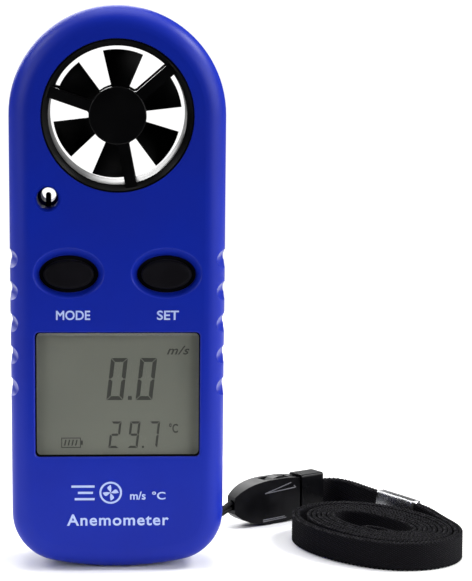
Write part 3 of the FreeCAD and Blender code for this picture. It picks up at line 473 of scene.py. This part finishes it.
def ring_of_links(radii: Flat, faces: Flat, links: int, finish: Finish,
                  place: Point) -> bpy.types.Mesh:
    """Make a flat ring that faces forward from short links.

    Args:
        radii: The inner and the outer radius in millimetres.
        faces: Y of the front and the back face, about the place.
        links: How many links go round.
        finish: The ring's finish.
        place: The ring's centre.

    Returns:
        One plain mesh in metres.
    """
    half = math.pi / links
    inner, outer = radii
    link = prism([(radius * math.sin(side), radius * math.cos(side)) for radius, side in
                  ((inner, -half), (inner, half), (outer, half), (outer, -half))], *faces)
    return Repeater(links, turn=(0, 360 / links, 0)).make(link, finish, place)


def joined(name: str, parts: Sequence[bpy.types.Mesh], finish: Finish) -> bpy.types.Mesh:
    """Join plain meshes into one mesh of one finish.

    Args:
        name: The new mesh's name.
        parts: The meshes, which are removed.
        finish: The finish of the whole.

    Returns:
        The joined mesh.
    """
    verts: list[Any] = []
    faces: list[Any] = []
    for part in parts:
        start = len(verts)
        verts += [v.co.copy() for v in part.vertices]
        faces += [tuple(start + i for i in p.vertices) for p in part.polygons]
        bpy.data.meshes.remove(part)
    mesh = bpy.data.meshes.new(name)
    mesh.from_pydata(verts, [], faces)
    mesh.materials.append(finish.build())
    mesh.update()
    return mesh


@dataclass(frozen=True)
class Word:
    """A word fitted into a box; its boldness is in parts of the letters' own height."""

    text: str
    x0: float
    x1: float
    z0: float
    z1: float
    bold: float = 0.018
    slant: float = 0.0
    spacing: float = 1.0
    letter_depth: float = 0.5
    curve_steps: int = 6

    def mesh(self, faces: Flat) -> bpy.types.Mesh:
        """Make the word's letters as a thin solid between two faces."""
        curve = bpy.data.curves.new(self.text, "FONT")
        curve.body = self.text
        curve.bevel_depth = self.bold
        curve.bevel_resolution = 0
        curve.shear = self.slant
        curve.space_character = self.spacing
        curve.extrude = self.letter_depth
        curve.resolution_u = self.curve_steps
        mesh = plain_mesh(bpy.data.objects.new("word", curve))
        points = np.array([v.co for v in mesh.vertices])
        low, high = points.min(0), points.max(0)
        span = high - low
        for vertex, point in zip(mesh.vertices, points):
            share = (point - low) / span
            vertex.co = (MM * (self.x0 + share[0] * (self.x1 - self.x0)),
                         MM * (faces[1] - share[2] * (faces[1] - faces[0])),
                         MM * (self.z0 + share[1] * (self.z1 - self.z0)))
        mesh.update()
        return mesh


# ---- sub-assemblies ----


@dataclass(frozen=True)
class Housing:
    """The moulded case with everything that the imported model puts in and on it."""

    def dress(self) -> None:
        """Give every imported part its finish."""
        finishes = {
            CASE_BLUE: ("front_case", "rear_case", "battery_cover"),
            GUARD_BLACK: ("front_guard", "rear_guard", "display_frame", "battery_holder"),
            ROTOR_BLACK: ("impeller",),
            BUTTON_RUBBER: ("mode_button", "set_button"),
            BUCKLE_BLACK: ("buckle_socket", "buckle_plug", "upper_prong", "lower_prong"),
            STEEL: ("case_screws", "board_screws", "impeller_shaft", "lanyard_bar"),
            BRONZE: ("front_bush", "rear_bush"),
            FERRITE: ("rotor_magnet",),
            BEAD_EPOXY: ("thermistor",),
            LENS: ("display_window",),
            CELL_GREY: ("display_cell",),
            ZEBRA: ("zebra_strips",),
            BOARD: ("main_board",),
            PACKAGE: ("button_switches", "controller_chip", "board_parts", "speed_sensor"),
            CELL_STEEL: ("coin_cell",),
            CONTACT: ("battery_minus", "battery_plus"),
        }
        for finish, nodes in finishes.items():
            for node in nodes:
                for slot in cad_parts[node].material_slots:
                    slot.material = finish.build()
                LOG.info("%s: %s", node, finish.name)


@dataclass(frozen=True)
class Printing:
    """Pad printing on the front: words under the buttons and general signs at the foot."""

    faces: Flat = (-8.02, -8.0)
    words: tuple[Word, ...] = (
        Word("MODE", -11.33, -5.05, 47.43, 49.19),
        Word("SET", 7.24, 11.3, 47.43, 49.19),
        Word("Anemometer", -9.45, 9.51, 8.62, 10.81, spacing=1.12),
        Word("m/s", 2.3, 5.2, 13.55, 15.08),
        Word("°C", 6.4, 8.9, 13.55, 15.08),
    )
    fan_x: float = -1.3
    fan_z: float = 14.9
    fan_r: float = 2.1
    ring_w: float = 0.36
    blades: int = 4
    ring_links: int = 48
    hub_gap: float = 0.25
    leaf_steps: int = 10
    leaf_rise: float = 0.62
    leaf_sag: float = 0.12
    leaf_lean: float = 1.4
    lines: tuple[Point, ...] = ((-8.6, -4.3, 16.1), (-7.4, -4.6, 14.9), (-8.0, -4.3, 13.7))
    line_w: float = 0.42

    def fan_blades(self) -> bpy.types.Mesh:
        """Make the fan sign's blades: one leaf, turned round the hub."""
        reach = self.fan_r - self.ring_w - self.hub_gap
        steps = self.leaf_steps
        upper = [(reach * k / steps,
                  self.leaf_rise * math.sin(math.pi * (k / steps) ** self.leaf_lean))
                 for k in range(steps + 1)]
        lower = [(x, -self.leaf_sag * math.sin(math.pi * x / reach)) for x, _ in upper[-2:0:-1]]
        leaf = prism((upper + lower)[::-1], *self.faces)
        return Repeater(self.blades, turn=(0, 360 / self.blades, 0)).make(
            leaf, INK, (self.fan_x, 0, self.fan_z))

    def wind_lines(self) -> list[bpy.types.Mesh]:
        """Make the straight strokes that stand for moving air."""
        half = self.line_w / 2
        return [bar(x0, x1, z - half, z + half, self.faces) for x0, x1, z in self.lines]

    def build(self) -> None:
        """Print the words and the signs."""
        words = [word.mesh(self.faces) for word in self.words]
        place_object("printed_words", joined("printed_words", words, INK))
        ring = ring_of_links((self.fan_r - self.ring_w, self.fan_r), self.faces, self.ring_links,
                             INK, (self.fan_x, 0, self.fan_z))
        signs = [ring, self.fan_blades()] + self.wind_lines()
        place_object("printed_signs", joined("printed_signs", signs, INK))


@dataclass(frozen=True)
class GuardSeal:
    """Hair-thin black ring that closes the joint between the fan guard and the case."""

    radii: Flat = (13.98, 14.07)
    faces: Flat = (-7.0, -6.6)
    centre: Point = (0.0, 0.0, 85.0)
    links: int = 72

    def build(self) -> None:
        """Lay the ring."""
        ring = ring_of_links(self.radii, self.faces, self.links, SEAL_AND_SHADOW_BLACK, self.centre)
        place_object("guard_seal", ring)


@dataclass(frozen=True)
class WindowShadowBand:
    """Thin black band between the display window and the case: painted shadow of the gap round the
    window, widest at the bottom and left.
    """

    x0: float = -15.24
    x1: float = 15.24
    z0: float = 21.71
    z1: float = 45.09
    corner: float = 0.8
    # Painted shadow: the band's widths on the left, right, bottom and top follow where the gap
    # falls in shade.
    insets: tuple[float, float, float, float] = (0.27, 0.2, 0.4, 0.14)
    face_y: float = -7.7
    back_y: float = -7.4
    arc: int = 7

    def loop(self, left: float, right: float, low: float, high: float) -> list[Flat]:
        """Give a rounded rectangle set in from the opening by four distances."""
        r = self.corner
        x0, x1, z0, z1 = self.x0 + left, self.x1 - right, self.z0 + low, self.z1 - high
        corners = ((x1 - r, z1 - r, 0), (x0 + r, z1 - r, 90), (x0 + r, z0 + r, 180),
                   (x1 - r, z0 + r, 270))
        turns = np.linspace(0, 90, self.arc)
        return [(x + r * math.cos(math.radians(first + turn)),
                 z + r * math.sin(math.radians(first + turn)))
                for x, z, first in corners for turn in turns]

    def build(self) -> None:
        """Lay the painted shadow band round the window."""
        outer = self.loop(0, 0, 0, 0)
        inner = self.loop(*self.insets)
        n = len(outer)
        verts = [(x * MM, y * MM, z * MM) for y in (self.face_y, self.back_y)
                 for ring in (outer, inner) for x, z in ring]
        faces = []
        for i in range(n):
            j = (i + 1) % n
            faces += [(i, n + i, n + j, j), (2 * n + i, 2 * n + j, 3 * n + j, 3 * n + i),
                      (i, j, 2 * n + j, 2 * n + i), (n + i, 3 * n + i, 3 * n + j, n + j)]
        mesh = bpy.data.meshes.new("window_shadow_band")
        mesh.from_pydata(verts, [], faces)
        mesh.materials.append(SEAL_AND_SHADOW_BLACK.build())
        mesh.update()
        place_object("window_shadow_band", mesh)


@dataclass(frozen=True)
class BuckleHighlightRidges:
    """Fine raised ridges on the buckle's front, painted light grey as painted highlight lines: a
    slim arrow and two lines on the lower lever.
    """

    tip: Point = (22.94, 23.97, 4.75)
    yaw: float = 33.0
    face: Flat = (-2.28, -2.0)
    width: float = 0.16
    lines: tuple[tuple[float, float, float, float], ...] = (
        (6.9, 1.9, 13.5, 3.4), (6.9, 1.9, 14.7, 2.3), (14.7, 2.3, 14.3, 2.75),
        (6.4, -3.55, 11.9, -3.4), (6.4, -3.9, 12.3, -3.7))

    def build(self) -> None:
        """Raise the ridges on the socket's front face."""
        bars = []
        for s0, w0, s1, w1 in self.lines:
            length = math.hypot(s1 - s0, w1 - w0)
            es, ew = (s1 - s0) / length * self.width / 2, (w1 - w0) / length * self.width / 2
            bars.append(prism([(s0 + ew, w0 - es), (s1 + ew, w1 - es), (s1 - ew, w1 + es),
                               (s0 - ew, w0 + es)], *self.face))
        # Painted highlight: the ridges' light grey stands in for light caught on the buckle's
        # edges.
        mesh = joined("buckle_highlight_ridges", bars, BUCKLE_HIGHLIGHT_PAINT)
        mesh.transform(Matrix.Translation(Vector(self.tip) * MM)
                       @ Matrix.Rotation(math.radians(self.yaw), 4, "Z"))
        place_object("buckle_highlight_ridges", mesh)


@dataclass(frozen=True)
class Digit:
    """One slanted seven-segment figure."""

    lit: str
    x: float
    z: float
    width: float
    height: float
    bar: float
    slant: float = 0.115
    gap: float = 0.09
    nick: float = 0.02

    def segments(self) -> list[list[Flat]]:
        """Give the outlines of the lit segments, in the figure's own upright frame."""
        w, h, t, g = self.width, self.height, self.bar, self.gap
        mid = h / 2
        left, right = t + g, w - t - g
        up_left = [(0, mid + g), (t / 2, mid + g - self.nick), (t, mid + t / 2 + g), (t, h - t - g),
                   (0, h - g)]
        shapes = {
            "a": [(g, h), (left, h - t), (right, h - t), (w - g, h)],
            "f": up_left,
            "b": [(w - x, z) for x, z in up_left[::-1]],
            "e": [(x, h - z) for x, z in up_left[::-1]],
            "c": [(w - x, h - z) for x, z in up_left],
            "d": [(g, 0), (w - g, 0), (right, t), (left, t)],
            "g": [(t / 2 + g, mid), (t + g, mid - t / 2), (w - t - g, mid - t / 2),
                  (w - t / 2 - g, mid), (w - t - g, mid + t / 2), (t + g, mid + t / 2)],
        }
        return [shapes[name] for name in self.lit]

    def meshes(self, faces: Flat) -> list[bpy.types.Mesh]:
        """Make the lit segments in place."""
        return [prism([(self.x + x + self.slant * z, self.z + z) for x, z in outline], *faces)
                for outline in self.segments()]


@dataclass(frozen=True)
class Display:
    """What the liquid crystal shows: speed, temperature, units and the battery sign."""

    film: float = 0.012
    big: tuple[tuple[str, float], ...] = (("abcdef", -2.11), ("abcdef", 3.31))
    small: tuple[tuple[str, float], ...] = (("abged", -1.76), ("abcdfg", 1.78), ("abc", 5.43))
    units: tuple[Word, ...] = (
        Word("m/s", 9.10, 13.33, 40.74, 42.4, slant=0.35, spacing=1.1),
        Word("°C", 9.56, 11.23, 25.95, 27.76),
    )
    battery: tuple[float, float, float, float] = (-10.49, -6.48, 23.2, 25.12)
    stroke: float = 0.16
    bars: int = 4
    big_size: tuple[float, ...] = (32.2, 3.1, 7.92, 0.74)
    small_size: tuple[float, ...] = (23.12, 1.92, 5.04, 0.42)
    small_gap: float = 0.07
    dots: tuple[Point, ...] = ((1.9, 32.23, 0.72), (4.5, 23.12, 0.4))
    cap: float = 0.35
    cap_inset: float = 0.55
    bar: tuple[Flat, ...] = ((0.0, 0.0), (0.26, 0.0), (0.5, 1.1), (0.24, 1.1))
    bar_step: float = 0.68
    bar_inset: Flat = (0.5, 0.42)

    def battery_sign(self, faces: Flat) -> list[bpy.types.Mesh]:
        """Make the battery's outline, its end cap and its leaning charge bars."""
        x0, x1, z0, z1 = self.battery
        s = self.stroke
        end = x1 - self.cap
        strips = [(x0, end, z0, z0 + s), (x0, end, z1 - s, z1), (x0, x0 + s, z0 + s, z1 - s),
                  (end - s, end, z0 + s, z1 - s),
                  (end, x1, z0 + self.cap_inset, z1 - self.cap_inset)]
        parts = [bar(*strip, faces) for strip in strips]
        parts.append(Repeater(self.bars, step=(self.bar_step, 0, 0)).make(
            prism(self.bar, *faces), SEGMENT_GREY,
            (x0 + self.bar_inset[0], 0, z0 + self.bar_inset[1])))
        return parts

    def build(self) -> None:
        """Draw everything on the front of the display cell."""
        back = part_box("display_cell")[0].y / MM
        faces = (back - self.film, back)
        parts: list[bpy.types.Mesh] = []
        for lit, x in self.big:
            parts += Digit(lit, x, *self.big_size).meshes(faces)
        for lit, x in self.small:
            parts += Digit(lit, x, *self.small_size, gap=self.small_gap).meshes(faces)
        parts += [bar(x, x + size, z, z + size, faces) for x, z, size in self.dots]
        parts += self.battery_sign(faces)
        parts += [word.mesh(faces) for word in self.units]
        place_object("display_signs", joined("display_signs", parts, SEGMENT_GREY))


def spline_line(route: Sequence[Point]) -> np.ndarray:
    """Read points off the smooth line that a cord follows.

    Args:
        route: The cord's control points in millimetres.

    Returns:
        Points along the line, in metres.
    """
    curve = bpy.data.curves.new("route", "CURVE")
    curve.dimensions = "3D"
    curve.resolution_u = SPLINE_STEPS
    spline = curve.splines.new("NURBS")
    spline.points.add(len(route) - 1)
    for point, place in zip(spline.points, route):
        point.co = (place[0] * MM, place[1] * MM, place[2] * MM, 1.0)
    spline.order_u = SPLINE_ORDER
    spline.use_endpoint_u = True
    holder = bpy.data.objects.new("route", curve)
    mesh = bpy.data.meshes.new_from_object(holder)
    line = np.array([v.co for v in mesh.vertices])
    bpy.data.objects.remove(holder)
    bpy.data.meshes.remove(mesh)
    return line


def evenly(line: np.ndarray, step: float) -> np.ndarray:
    """Space points evenly along a line.

    Args:
        line: Points in metres.
        step: Wanted distance between points, in metres.

    Returns:
        The new points, from the line's first to its last.
    """
    gaps = np.linalg.norm(np.diff(line, axis=0), axis=1)
    along = np.concatenate([[0.0], np.cumsum(gaps)])
    count = max(2, int(round(along[-1] / step)) + 1)
    places = np.linspace(0.0, along[-1], count)
    return np.stack([np.interp(places, along, line[:, axis]) for axis in range(3)], axis=1)


def upright_frame(line: np.ndarray) -> tuple[np.ndarray, np.ndarray, np.ndarray]:
    """Give the directions ahead, to the side and up at each point of a band that stands on edge.

    Args:
        line: The band's middle line.

    Returns:
        Three arrays of unit vectors, the side always level.
    """
    ahead = np.gradient(line, axis=0)
    ahead /= np.linalg.norm(ahead, axis=1)[:, None]
    side = np.cross((0.0, 0.0, 1.0), ahead)
    side /= np.linalg.norm(side, axis=1)[:, None]
    return ahead, side, np.cross(ahead, side)


def length_of(line: np.ndarray) -> float:
    """Give the length of a line of points."""
    return float(np.linalg.norm(np.diff(line, axis=0), axis=1).sum())


def tube(name: str, rings: np.ndarray, around: np.ndarray, step: float,
         finish: Finish) -> bpy.types.Mesh:
    """Join closed rings of points into a tube with capped ends and its own UV map.

    Args:
        name: The mesh's name.
        rings: Points by ring and place round the ring, in metres.
        around: The distance of each place round the ring, in metres.
        step: The distance between rings, in metres.
        finish: The tube's finish.

    Returns:
        A closed mesh whose UV map holds the distance along and around, in metres.
    """
    count, size = rings.shape[:2]
    first = np.arange(count - 1)[:, None] * size
    here = np.arange(size)[None, :]
    after = (here + 1) % size
    quads = np.stack([first + here, first + after, first + size + after, first + size + here], -1)
    faces = [tuple(int(i) for i in quad) for quad in quads.reshape(-1, 4)]
    faces += [tuple(range(size - 1, -1, -1)), tuple(range((count - 1) * size, count * size))]
    mesh = bpy.data.meshes.new(name)
    mesh.from_pydata([tuple(p) for p in rings.reshape(-1, 3)], [], faces)
    mesh.polygons.foreach_set("use_smooth", [True] * len(faces))
    layer = mesh.uv_layers.new(name=UV_NAME)
    index = np.empty(len(mesh.loops), dtype=np.int64)
    mesh.loops.foreach_get("vertex_index", index)
    uv = np.stack([(index // size) * step, around[index % size]], axis=1)
    layer.data.foreach_set("uv", uv.ravel().astype(np.float32))
    mesh.materials.append(finish.build())
    mesh.update()
    return mesh


@dataclass(frozen=True)
class LoopCord:
    """The thin braided loop that ties the buckle to the bar in the case's corner."""

    diameter: float = 1.0
    braid: float = 0.9
    raised: float = 0.035
    step: float = 0.09
    sides: int = 20
    plaits: int = 4
    route: tuple[Point, ...] = (
        (22.79, 23.82, 5.3), (18.8, 20.0, 3.3), (17.3, 15.3, 3.4), (16.9, 10.8, 5.3),
        (16.95, 7.2, 7.4), (16.9, 4.8, 8.1), (14.3, 4.8, 8.1), (14.4, 7.6, 7.7),
        (15.6, 11.0, 5.0), (16.25, 15.4, 2.6), (18.4, 20.3, 2.15), (22.79, 23.82, 4.2))

    def build(self) -> None:
        """Lay the cord along its route, with its plaited surface."""
        line = evenly(spline_line(self.route), self.step * MM)
        ahead = np.gradient(line, axis=0)
        ahead /= np.linalg.norm(ahead, axis=1)[:, None]
        side = np.cross(ahead[0], (0.0, 0.0, 1.0))
        angles = np.linspace(0, 2 * math.pi, self.sides, endpoint=False)
        radius = (self.diameter / 2 - self.raised) * MM
        rings = np.empty((len(line), self.sides, 3))
        for i, (point, way) in enumerate(zip(line, ahead)):
            side = side - way * side.dot(way)
            side /= np.linalg.norm(side)
            up = np.cross(side, way)
            twist = 2 * math.pi * i * self.step / self.braid
            swell = np.cos(self.plaits * angles + twist) * np.cos(self.plaits * angles - twist)
            reach = radius + self.raised * MM * swell
            rings[i] = point + np.outer(reach * np.cos(angles), side) + np.outer(
                reach * np.sin(angles), up)
        mesh = tube("loop_cord_braid", rings, angles * radius, self.step * MM, CORD)
        cord = place_object("loop_cord_braid", mesh)
        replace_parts(cord, "loop_cord")


@dataclass(frozen=True)
class CrimpSleeve:
    """The metal sleeve pressed round both strands of the strap, bent as they are."""

    length: float = 9.5
    half_thick: float = 1.2
    half_wide: float = 3.02
    corner: float = 0.4
    arc: int = 5

    def section(self) -> tuple[np.ndarray, np.ndarray]:
        """Give the rounded outline: thickness and width of each place, in metres."""
        turns = np.linspace(0, math.pi / 2, self.arc)
        r, flat, tall = self.corner, self.half_thick - self.corner, self.half_wide - self.corner
        outline = [(sx * flat + r * math.cos(angle), sy * tall + r * math.sin(angle))
                   for quarter, (sx, sy) in enumerate(((1, 1), (-1, 1), (-1, -1), (1, -1)))
                   for angle in turns + quarter * math.pi / 2]
        out, rise = (np.array(values) * MM for values in zip(*outline))
        return out, rise

    def build(self, middle: np.ndarray, place: np.ndarray, step: float) -> None:
        """Press the sleeve round the strap.

        Args:
            middle: The middle of the doubled strap, in metres.
            place: The sleeve's centre, in metres.
            step: The distance between the middle's points, in millimetres.
        """
        at = int(np.argmin(np.linalg.norm(middle - place, axis=1)))
        reach = int(round(self.length / 2 / step))
        line = middle[at - reach:at + reach + 1]
        _, side, up = upright_frame(line)
        out, rise = self.section()
        rings = (line[:, None, :] + side[:, None, :] * out[None, :, None]
                 + up[:, None, :] * rise[None, :, None])
        gaps = np.hypot(np.diff(out, append=out[0]), np.diff(rise, append=rise[0]))
        around = np.concatenate([[0.0], np.cumsum(gaps)[:-1]])
        mesh = tube("crimp_sleeve", rings, around, step * MM, CRIMP)
        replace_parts(place_object("crimp_sleeve", mesh), "crimp")


@dataclass(frozen=True)
class NeckStrap:
    """The flat woven neck strap: folded double, crimped, and wound up beside the case."""

    width: float = 5.5
    strand: float = 0.8
    apart: float = 0.43
    pick: float = 0.9
    step: float = 0.15
    columns: int = 11
    weave: float = 0.12
    scallop: float = 0.2
    lead: tuple[Point, ...] = (
        (39.21, 34.54, 4.75), (43.83, 37.53, 4.75), (47.6, 35.7, 4.6), (52.0, 28.9, 4.2),
        (61.2, 17.9, 3.4), (63.6, 11.4, 2.75))
    centre: tuple[float, float] = (50.4, 7.4)
    yaw: float = -54.6
    points_per_turn: int = 14
    first_angle: float = 38.0
    at_turn: tuple[float, ...] = (0.0, 0.62, 1.0, 4.4)
    half_long: tuple[float, ...] = (18.8, 18.8, 16.8, 10.0)
    half_short: tuple[float, ...] = (12.9, 12.9, 10.9, 4.1)
    squareness: float = 0.92
    exit: Point = (41.3, 35.9, 4.75)
    crimp: CrimpSleeve = CrimpSleeve()
    crimp_between: tuple[int, int] = (3, 4)
    crimp_at: float = 0.53
    middle_step: float = 0.5
    selvedge: float = 0.2
    loose_from: float = 0.3
    loose_over: float = 0.2
    loose_waves: float = 61.0
    loose_by: float = 0.12
    bulb_at: float = 1.5
    bulb_length: float = 2.2
    bulb_by: float = 0.75
    fold_points: int = 14
    fold_reach: float = 1.3

    def coil(self) -> list[Point]:
        """Work out the control points of the turns, from the outermost inwards."""
        yaw = math.radians(self.yaw)
        long_axis = (math.cos(yaw), math.sin(yaw))
        short_axis = (-math.sin(yaw), math.cos(yaw))
        count = int(self.at_turn[-1] * self.points_per_turn)
        points = []
        for k in range(count + 1):
            turn = k / self.points_per_turn
            angle = math.radians(self.first_angle + 360 * turn)
            half_long, half_short = (float(np.interp(turn, self.at_turn, sizes))
                                     for sizes in (self.half_long, self.half_short))
            sine, cosine = (math.copysign(abs(part) ** self.squareness, part)
                            for part in (math.sin(angle), math.cos(angle)))
            e1 = half_long * sine
            e2 = half_short * cosine
            points.append((self.centre[0] + e1 * long_axis[0] + e2 * short_axis[0],
                           self.centre[1] + e1 * long_axis[1] + e2 * short_axis[1],
                           self.width / 2))
        return points

    def folded(self, line: np.ndarray) -> np.ndarray:
        """Give the centreline of the single strand that goes out, round the fold and back.

        Args:
            line: The middle of the doubled strap, in metres.

        Returns:
            Evenly spaced points of the strand, in metres.
        """
        ahead, side, _ = upright_frame(line)
        share = np.linspace(0, 1, len(line))
        left = length_of(line) * (1 - share)
        wave = 0.5 + 0.5 * np.sin(share * self.loose_waves)
        loose = np.clip((share - self.loose_from) / self.loose_over, 0, 1) * wave
        loose = loose * self.loose_by * MM
        bulb = np.exp(-((left - self.bulb_at * MM) / (self.bulb_length * MM)) ** 2)
        bulb = bulb * self.bulb_by * MM
        half = (self.apart * MM + loose + bulb)[:, None]
        out, back = line + side * half, (line - side * half)[::-1]
        turn = np.linspace(0, math.pi, self.fold_points)[1:-1, None]
        fold = (line[-1] + side[-1] * half[-1] * np.cos(turn)
                + ahead[-1] * half[-1] * self.fold_reach * np.sin(turn))
        return evenly(np.concatenate([out, fold, back]), self.step * MM)

    def section(self) -> tuple[np.ndarray, np.ndarray, np.ndarray]:
        """Give the strand's section: thickness and width of each place, and its weave sign."""
        across = np.linspace(-1, 1, self.columns) * (self.width / 2 - self.selvedge)
        flat = self.strand / 2 - self.weave
        sign = np.where(np.arange(self.columns) % 2 == 0, 1.0, -1.0)
        thick = np.concatenate([np.full(self.columns, flat), [0.0], np.full(self.columns, -flat),
                                [0.0]])
        edge = self.width / 2 - self.scallop
        wide = np.concatenate([across, [edge], across[::-1], [-edge]])
        weave = np.concatenate([sign, [0.0], sign[::-1], [0.0]])
        return thick, wide, weave

    def build(self) -> None:
        """Lay the strap along its route, woven and folded double."""
        middle = evenly(spline_line(self.lead + tuple(self.coil())),
                        self.middle_step * MM)
        strand = self.folded(middle)
        _, side, up = upright_frame(strand)
        thick, wide, weave = self.section()
        phase = np.sin(2 * math.pi * np.arange(len(strand)) * self.step / self.pick)[:, None]
        out = (thick + np.sign(thick) * self.weave * weave * phase) * MM
        rise = (wide + np.where(thick == 0, np.sign(wide) * self.scallop, 0.0) * phase) * MM
        rings = (strand[:, None, :] + side[:, None, :] * out[..., None]
                 + up[:, None, :] * rise[..., None])
        around = np.concatenate([wide[:self.columns + 1], wide[:self.columns + 1]
                                 + self.width]) * MM
        mesh = tube("strap_folded", rings, around, self.step * MM, STRAP)
        strap = place_object("strap_folded", mesh)
        near, far = (np.array(self.lead[i]) * MM for i in self.crimp_between)
        self.crimp.build(middle, near + (far - near) * self.crimp_at, self.middle_step)
        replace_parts(strap, "strap_lead", "strap_coil")


@dataclass(frozen=True)
class Softbox:
    """A square studio lamp aimed at the case."""

    name: str
    place: Point
    size: float
    power: float
    aim: Point = (0.0, 0.0, 55.0)

    def build(self) -> None:
        """Hang the lamp."""
        light = bpy.data.lights.new(self.name, "AREA")
        light.shape = "SQUARE"
        light.size = self.size * MM
        light.energy = self.power
        lamp = bpy.data.objects.new(self.name, light)
        lamp.location = Vector(self.place) * MM
        lamp.rotation_euler = (Vector(self.aim) - Vector(self.place)).to_track_quat(
            "-Z", "Y").to_euler()
        bpy.context.scene.collection.objects.link(lamp)


@dataclass(frozen=True)
class Studio:
    """Plain pale floor, soft lamps and the camera."""

    lamps: tuple[Softbox, ...] = (
        Softbox("softbox_right", (620.0, -420.0, 260.0), 420.0, 3.2),
        Softbox("softbox_left", (-620.0, -420.0, 260.0), 420.0, 2.3),
        Softbox("softbox_top", (0.0, 120.0, 900.0), 700.0, 6.0),
        Softbox("softbox_shoulder_right", (560.0, 40.0, 600.0), 240.0, 5.0, (0.0, 0.0, 90.0)),
        Softbox("softbox_shoulder_left", (-540.0, 0.0, 560.0), 240.0, 2.0, (0.0, 0.0, 90.0)),
        Softbox("softbox_side_right", (700.0, -140.0, 260.0), 300.0, 1.4, (0.0, 0.0, 80.0)),
        Softbox("softbox_back", (-200.0, 700.0, 420.0), 600.0, 5.0),
    )
    floor_box: tuple[float, float, float, float] = (-500.0, 500.0, -95.0, 330.0)
    eye: Point = (0.17, -400.0, 105.86)
    pitch: float = 7.68
    yaw: float = 3.16
    roll: float = 0.41
    lens: float = 132.99
    sensor: float = 36.0
    wall_span: Flat = (-0.4, 0.7)
    wall_light: Flat = (0.015, 0.1)
    sheet_span: Flat = (0.95, 0.98)
    sheet_light: Flat = (0.0, 0.6)
    backdrop_light: float = 1.05

    def floor(self) -> None:
        """Lay the floor."""
        x0, x1, y0, y1 = (edge * MM for edge in self.floor_box)
        mesh = bpy.data.meshes.new("floor")
        mesh.from_pydata([(x0, y0, 0.0), (x1, y0, 0.0), (x1, y1, 0.0), (x0, y1, 0.0)], [],
                         [(0, 1, 2, 3)])
        mesh.materials.append(PAPER.build())
        floor = bpy.data.objects.new("floor", mesh)
        bpy.context.scene.collection.objects.link(floor)

    def world(self) -> None:
        """Make a white backdrop for sight, and a dim room with a white sheet for the light."""
        world = bpy.data.worlds.new("studio")
        bpy.context.scene.world = world
        world.use_nodes = True
        tree = world.node_tree
        tree.nodes.clear()
        way = add(tree, "ShaderNodeTexCoord")
        parts = add(tree, "ShaderNodeSeparateXYZ", {0: way.outputs["Generated"]})
        walls = ramp(tree, parts.outputs["Y"], self.wall_span, self.wall_light)
        sheet = ramp(tree, parts.outputs["Y"], self.sheet_span, self.sheet_light)
        light = add(tree, "ShaderNodeMath", {0: walls, 1: sheet})
        room = add(tree, "ShaderNodeBackground",
                   {"Color": (1.0, 1.0, 1.0, 1.0), "Strength": light.outputs[0]})
        backdrop = add(tree, "ShaderNodeBackground",
                       {"Color": (1.0, 1.0, 1.0, 1.0), "Strength": self.backdrop_light})
        path = add(tree, "ShaderNodeLightPath")
        mix = add(tree, "ShaderNodeMixShader",
                  {"Fac": path.outputs["Is Camera Ray"], 1: room.outputs[0],
                   2: backdrop.outputs[0]})
        add(tree, "ShaderNodeOutputWorld", {"Surface": mix.outputs[0]})

    def camera(self) -> None:
        """Stand the camera and make it the scene's."""
        data = bpy.data.cameras.new("camera")
        data.lens = self.lens
        data.sensor_width = self.sensor
        camera = bpy.data.objects.new("camera", data)
        camera.matrix_world = Matrix.Translation(Vector(self.eye) * MM)
        for angle, axis in ((-self.yaw, "Z"), (90 - self.pitch, "X"), (self.roll, "Z")):
            camera.matrix_world @= Matrix.Rotation(math.radians(angle), 4, axis)
        bpy.context.scene.collection.objects.link(camera)
        bpy.context.scene.camera = camera

    def build(self) -> None:
        """Set up the whole studio."""
        bpy.context.scene.view_settings.view_transform = "Standard"
        self.floor()
        self.world()
        self.camera()
        for lamp in self.lamps:
            lamp.build()


def main() -> None:
    logging.basicConfig(level=logging.INFO, format="%(name)s: %(message)s")
    Studio().build()
    LoopCord().build()
    NeckStrap().build()
    Housing().dress()
    Printing().build()
    Display().build()
    GuardSeal().build()
    WindowShadowBand().build()
    BuckleHighlightRidges().build()


if __name__ == "__main__":
    main()
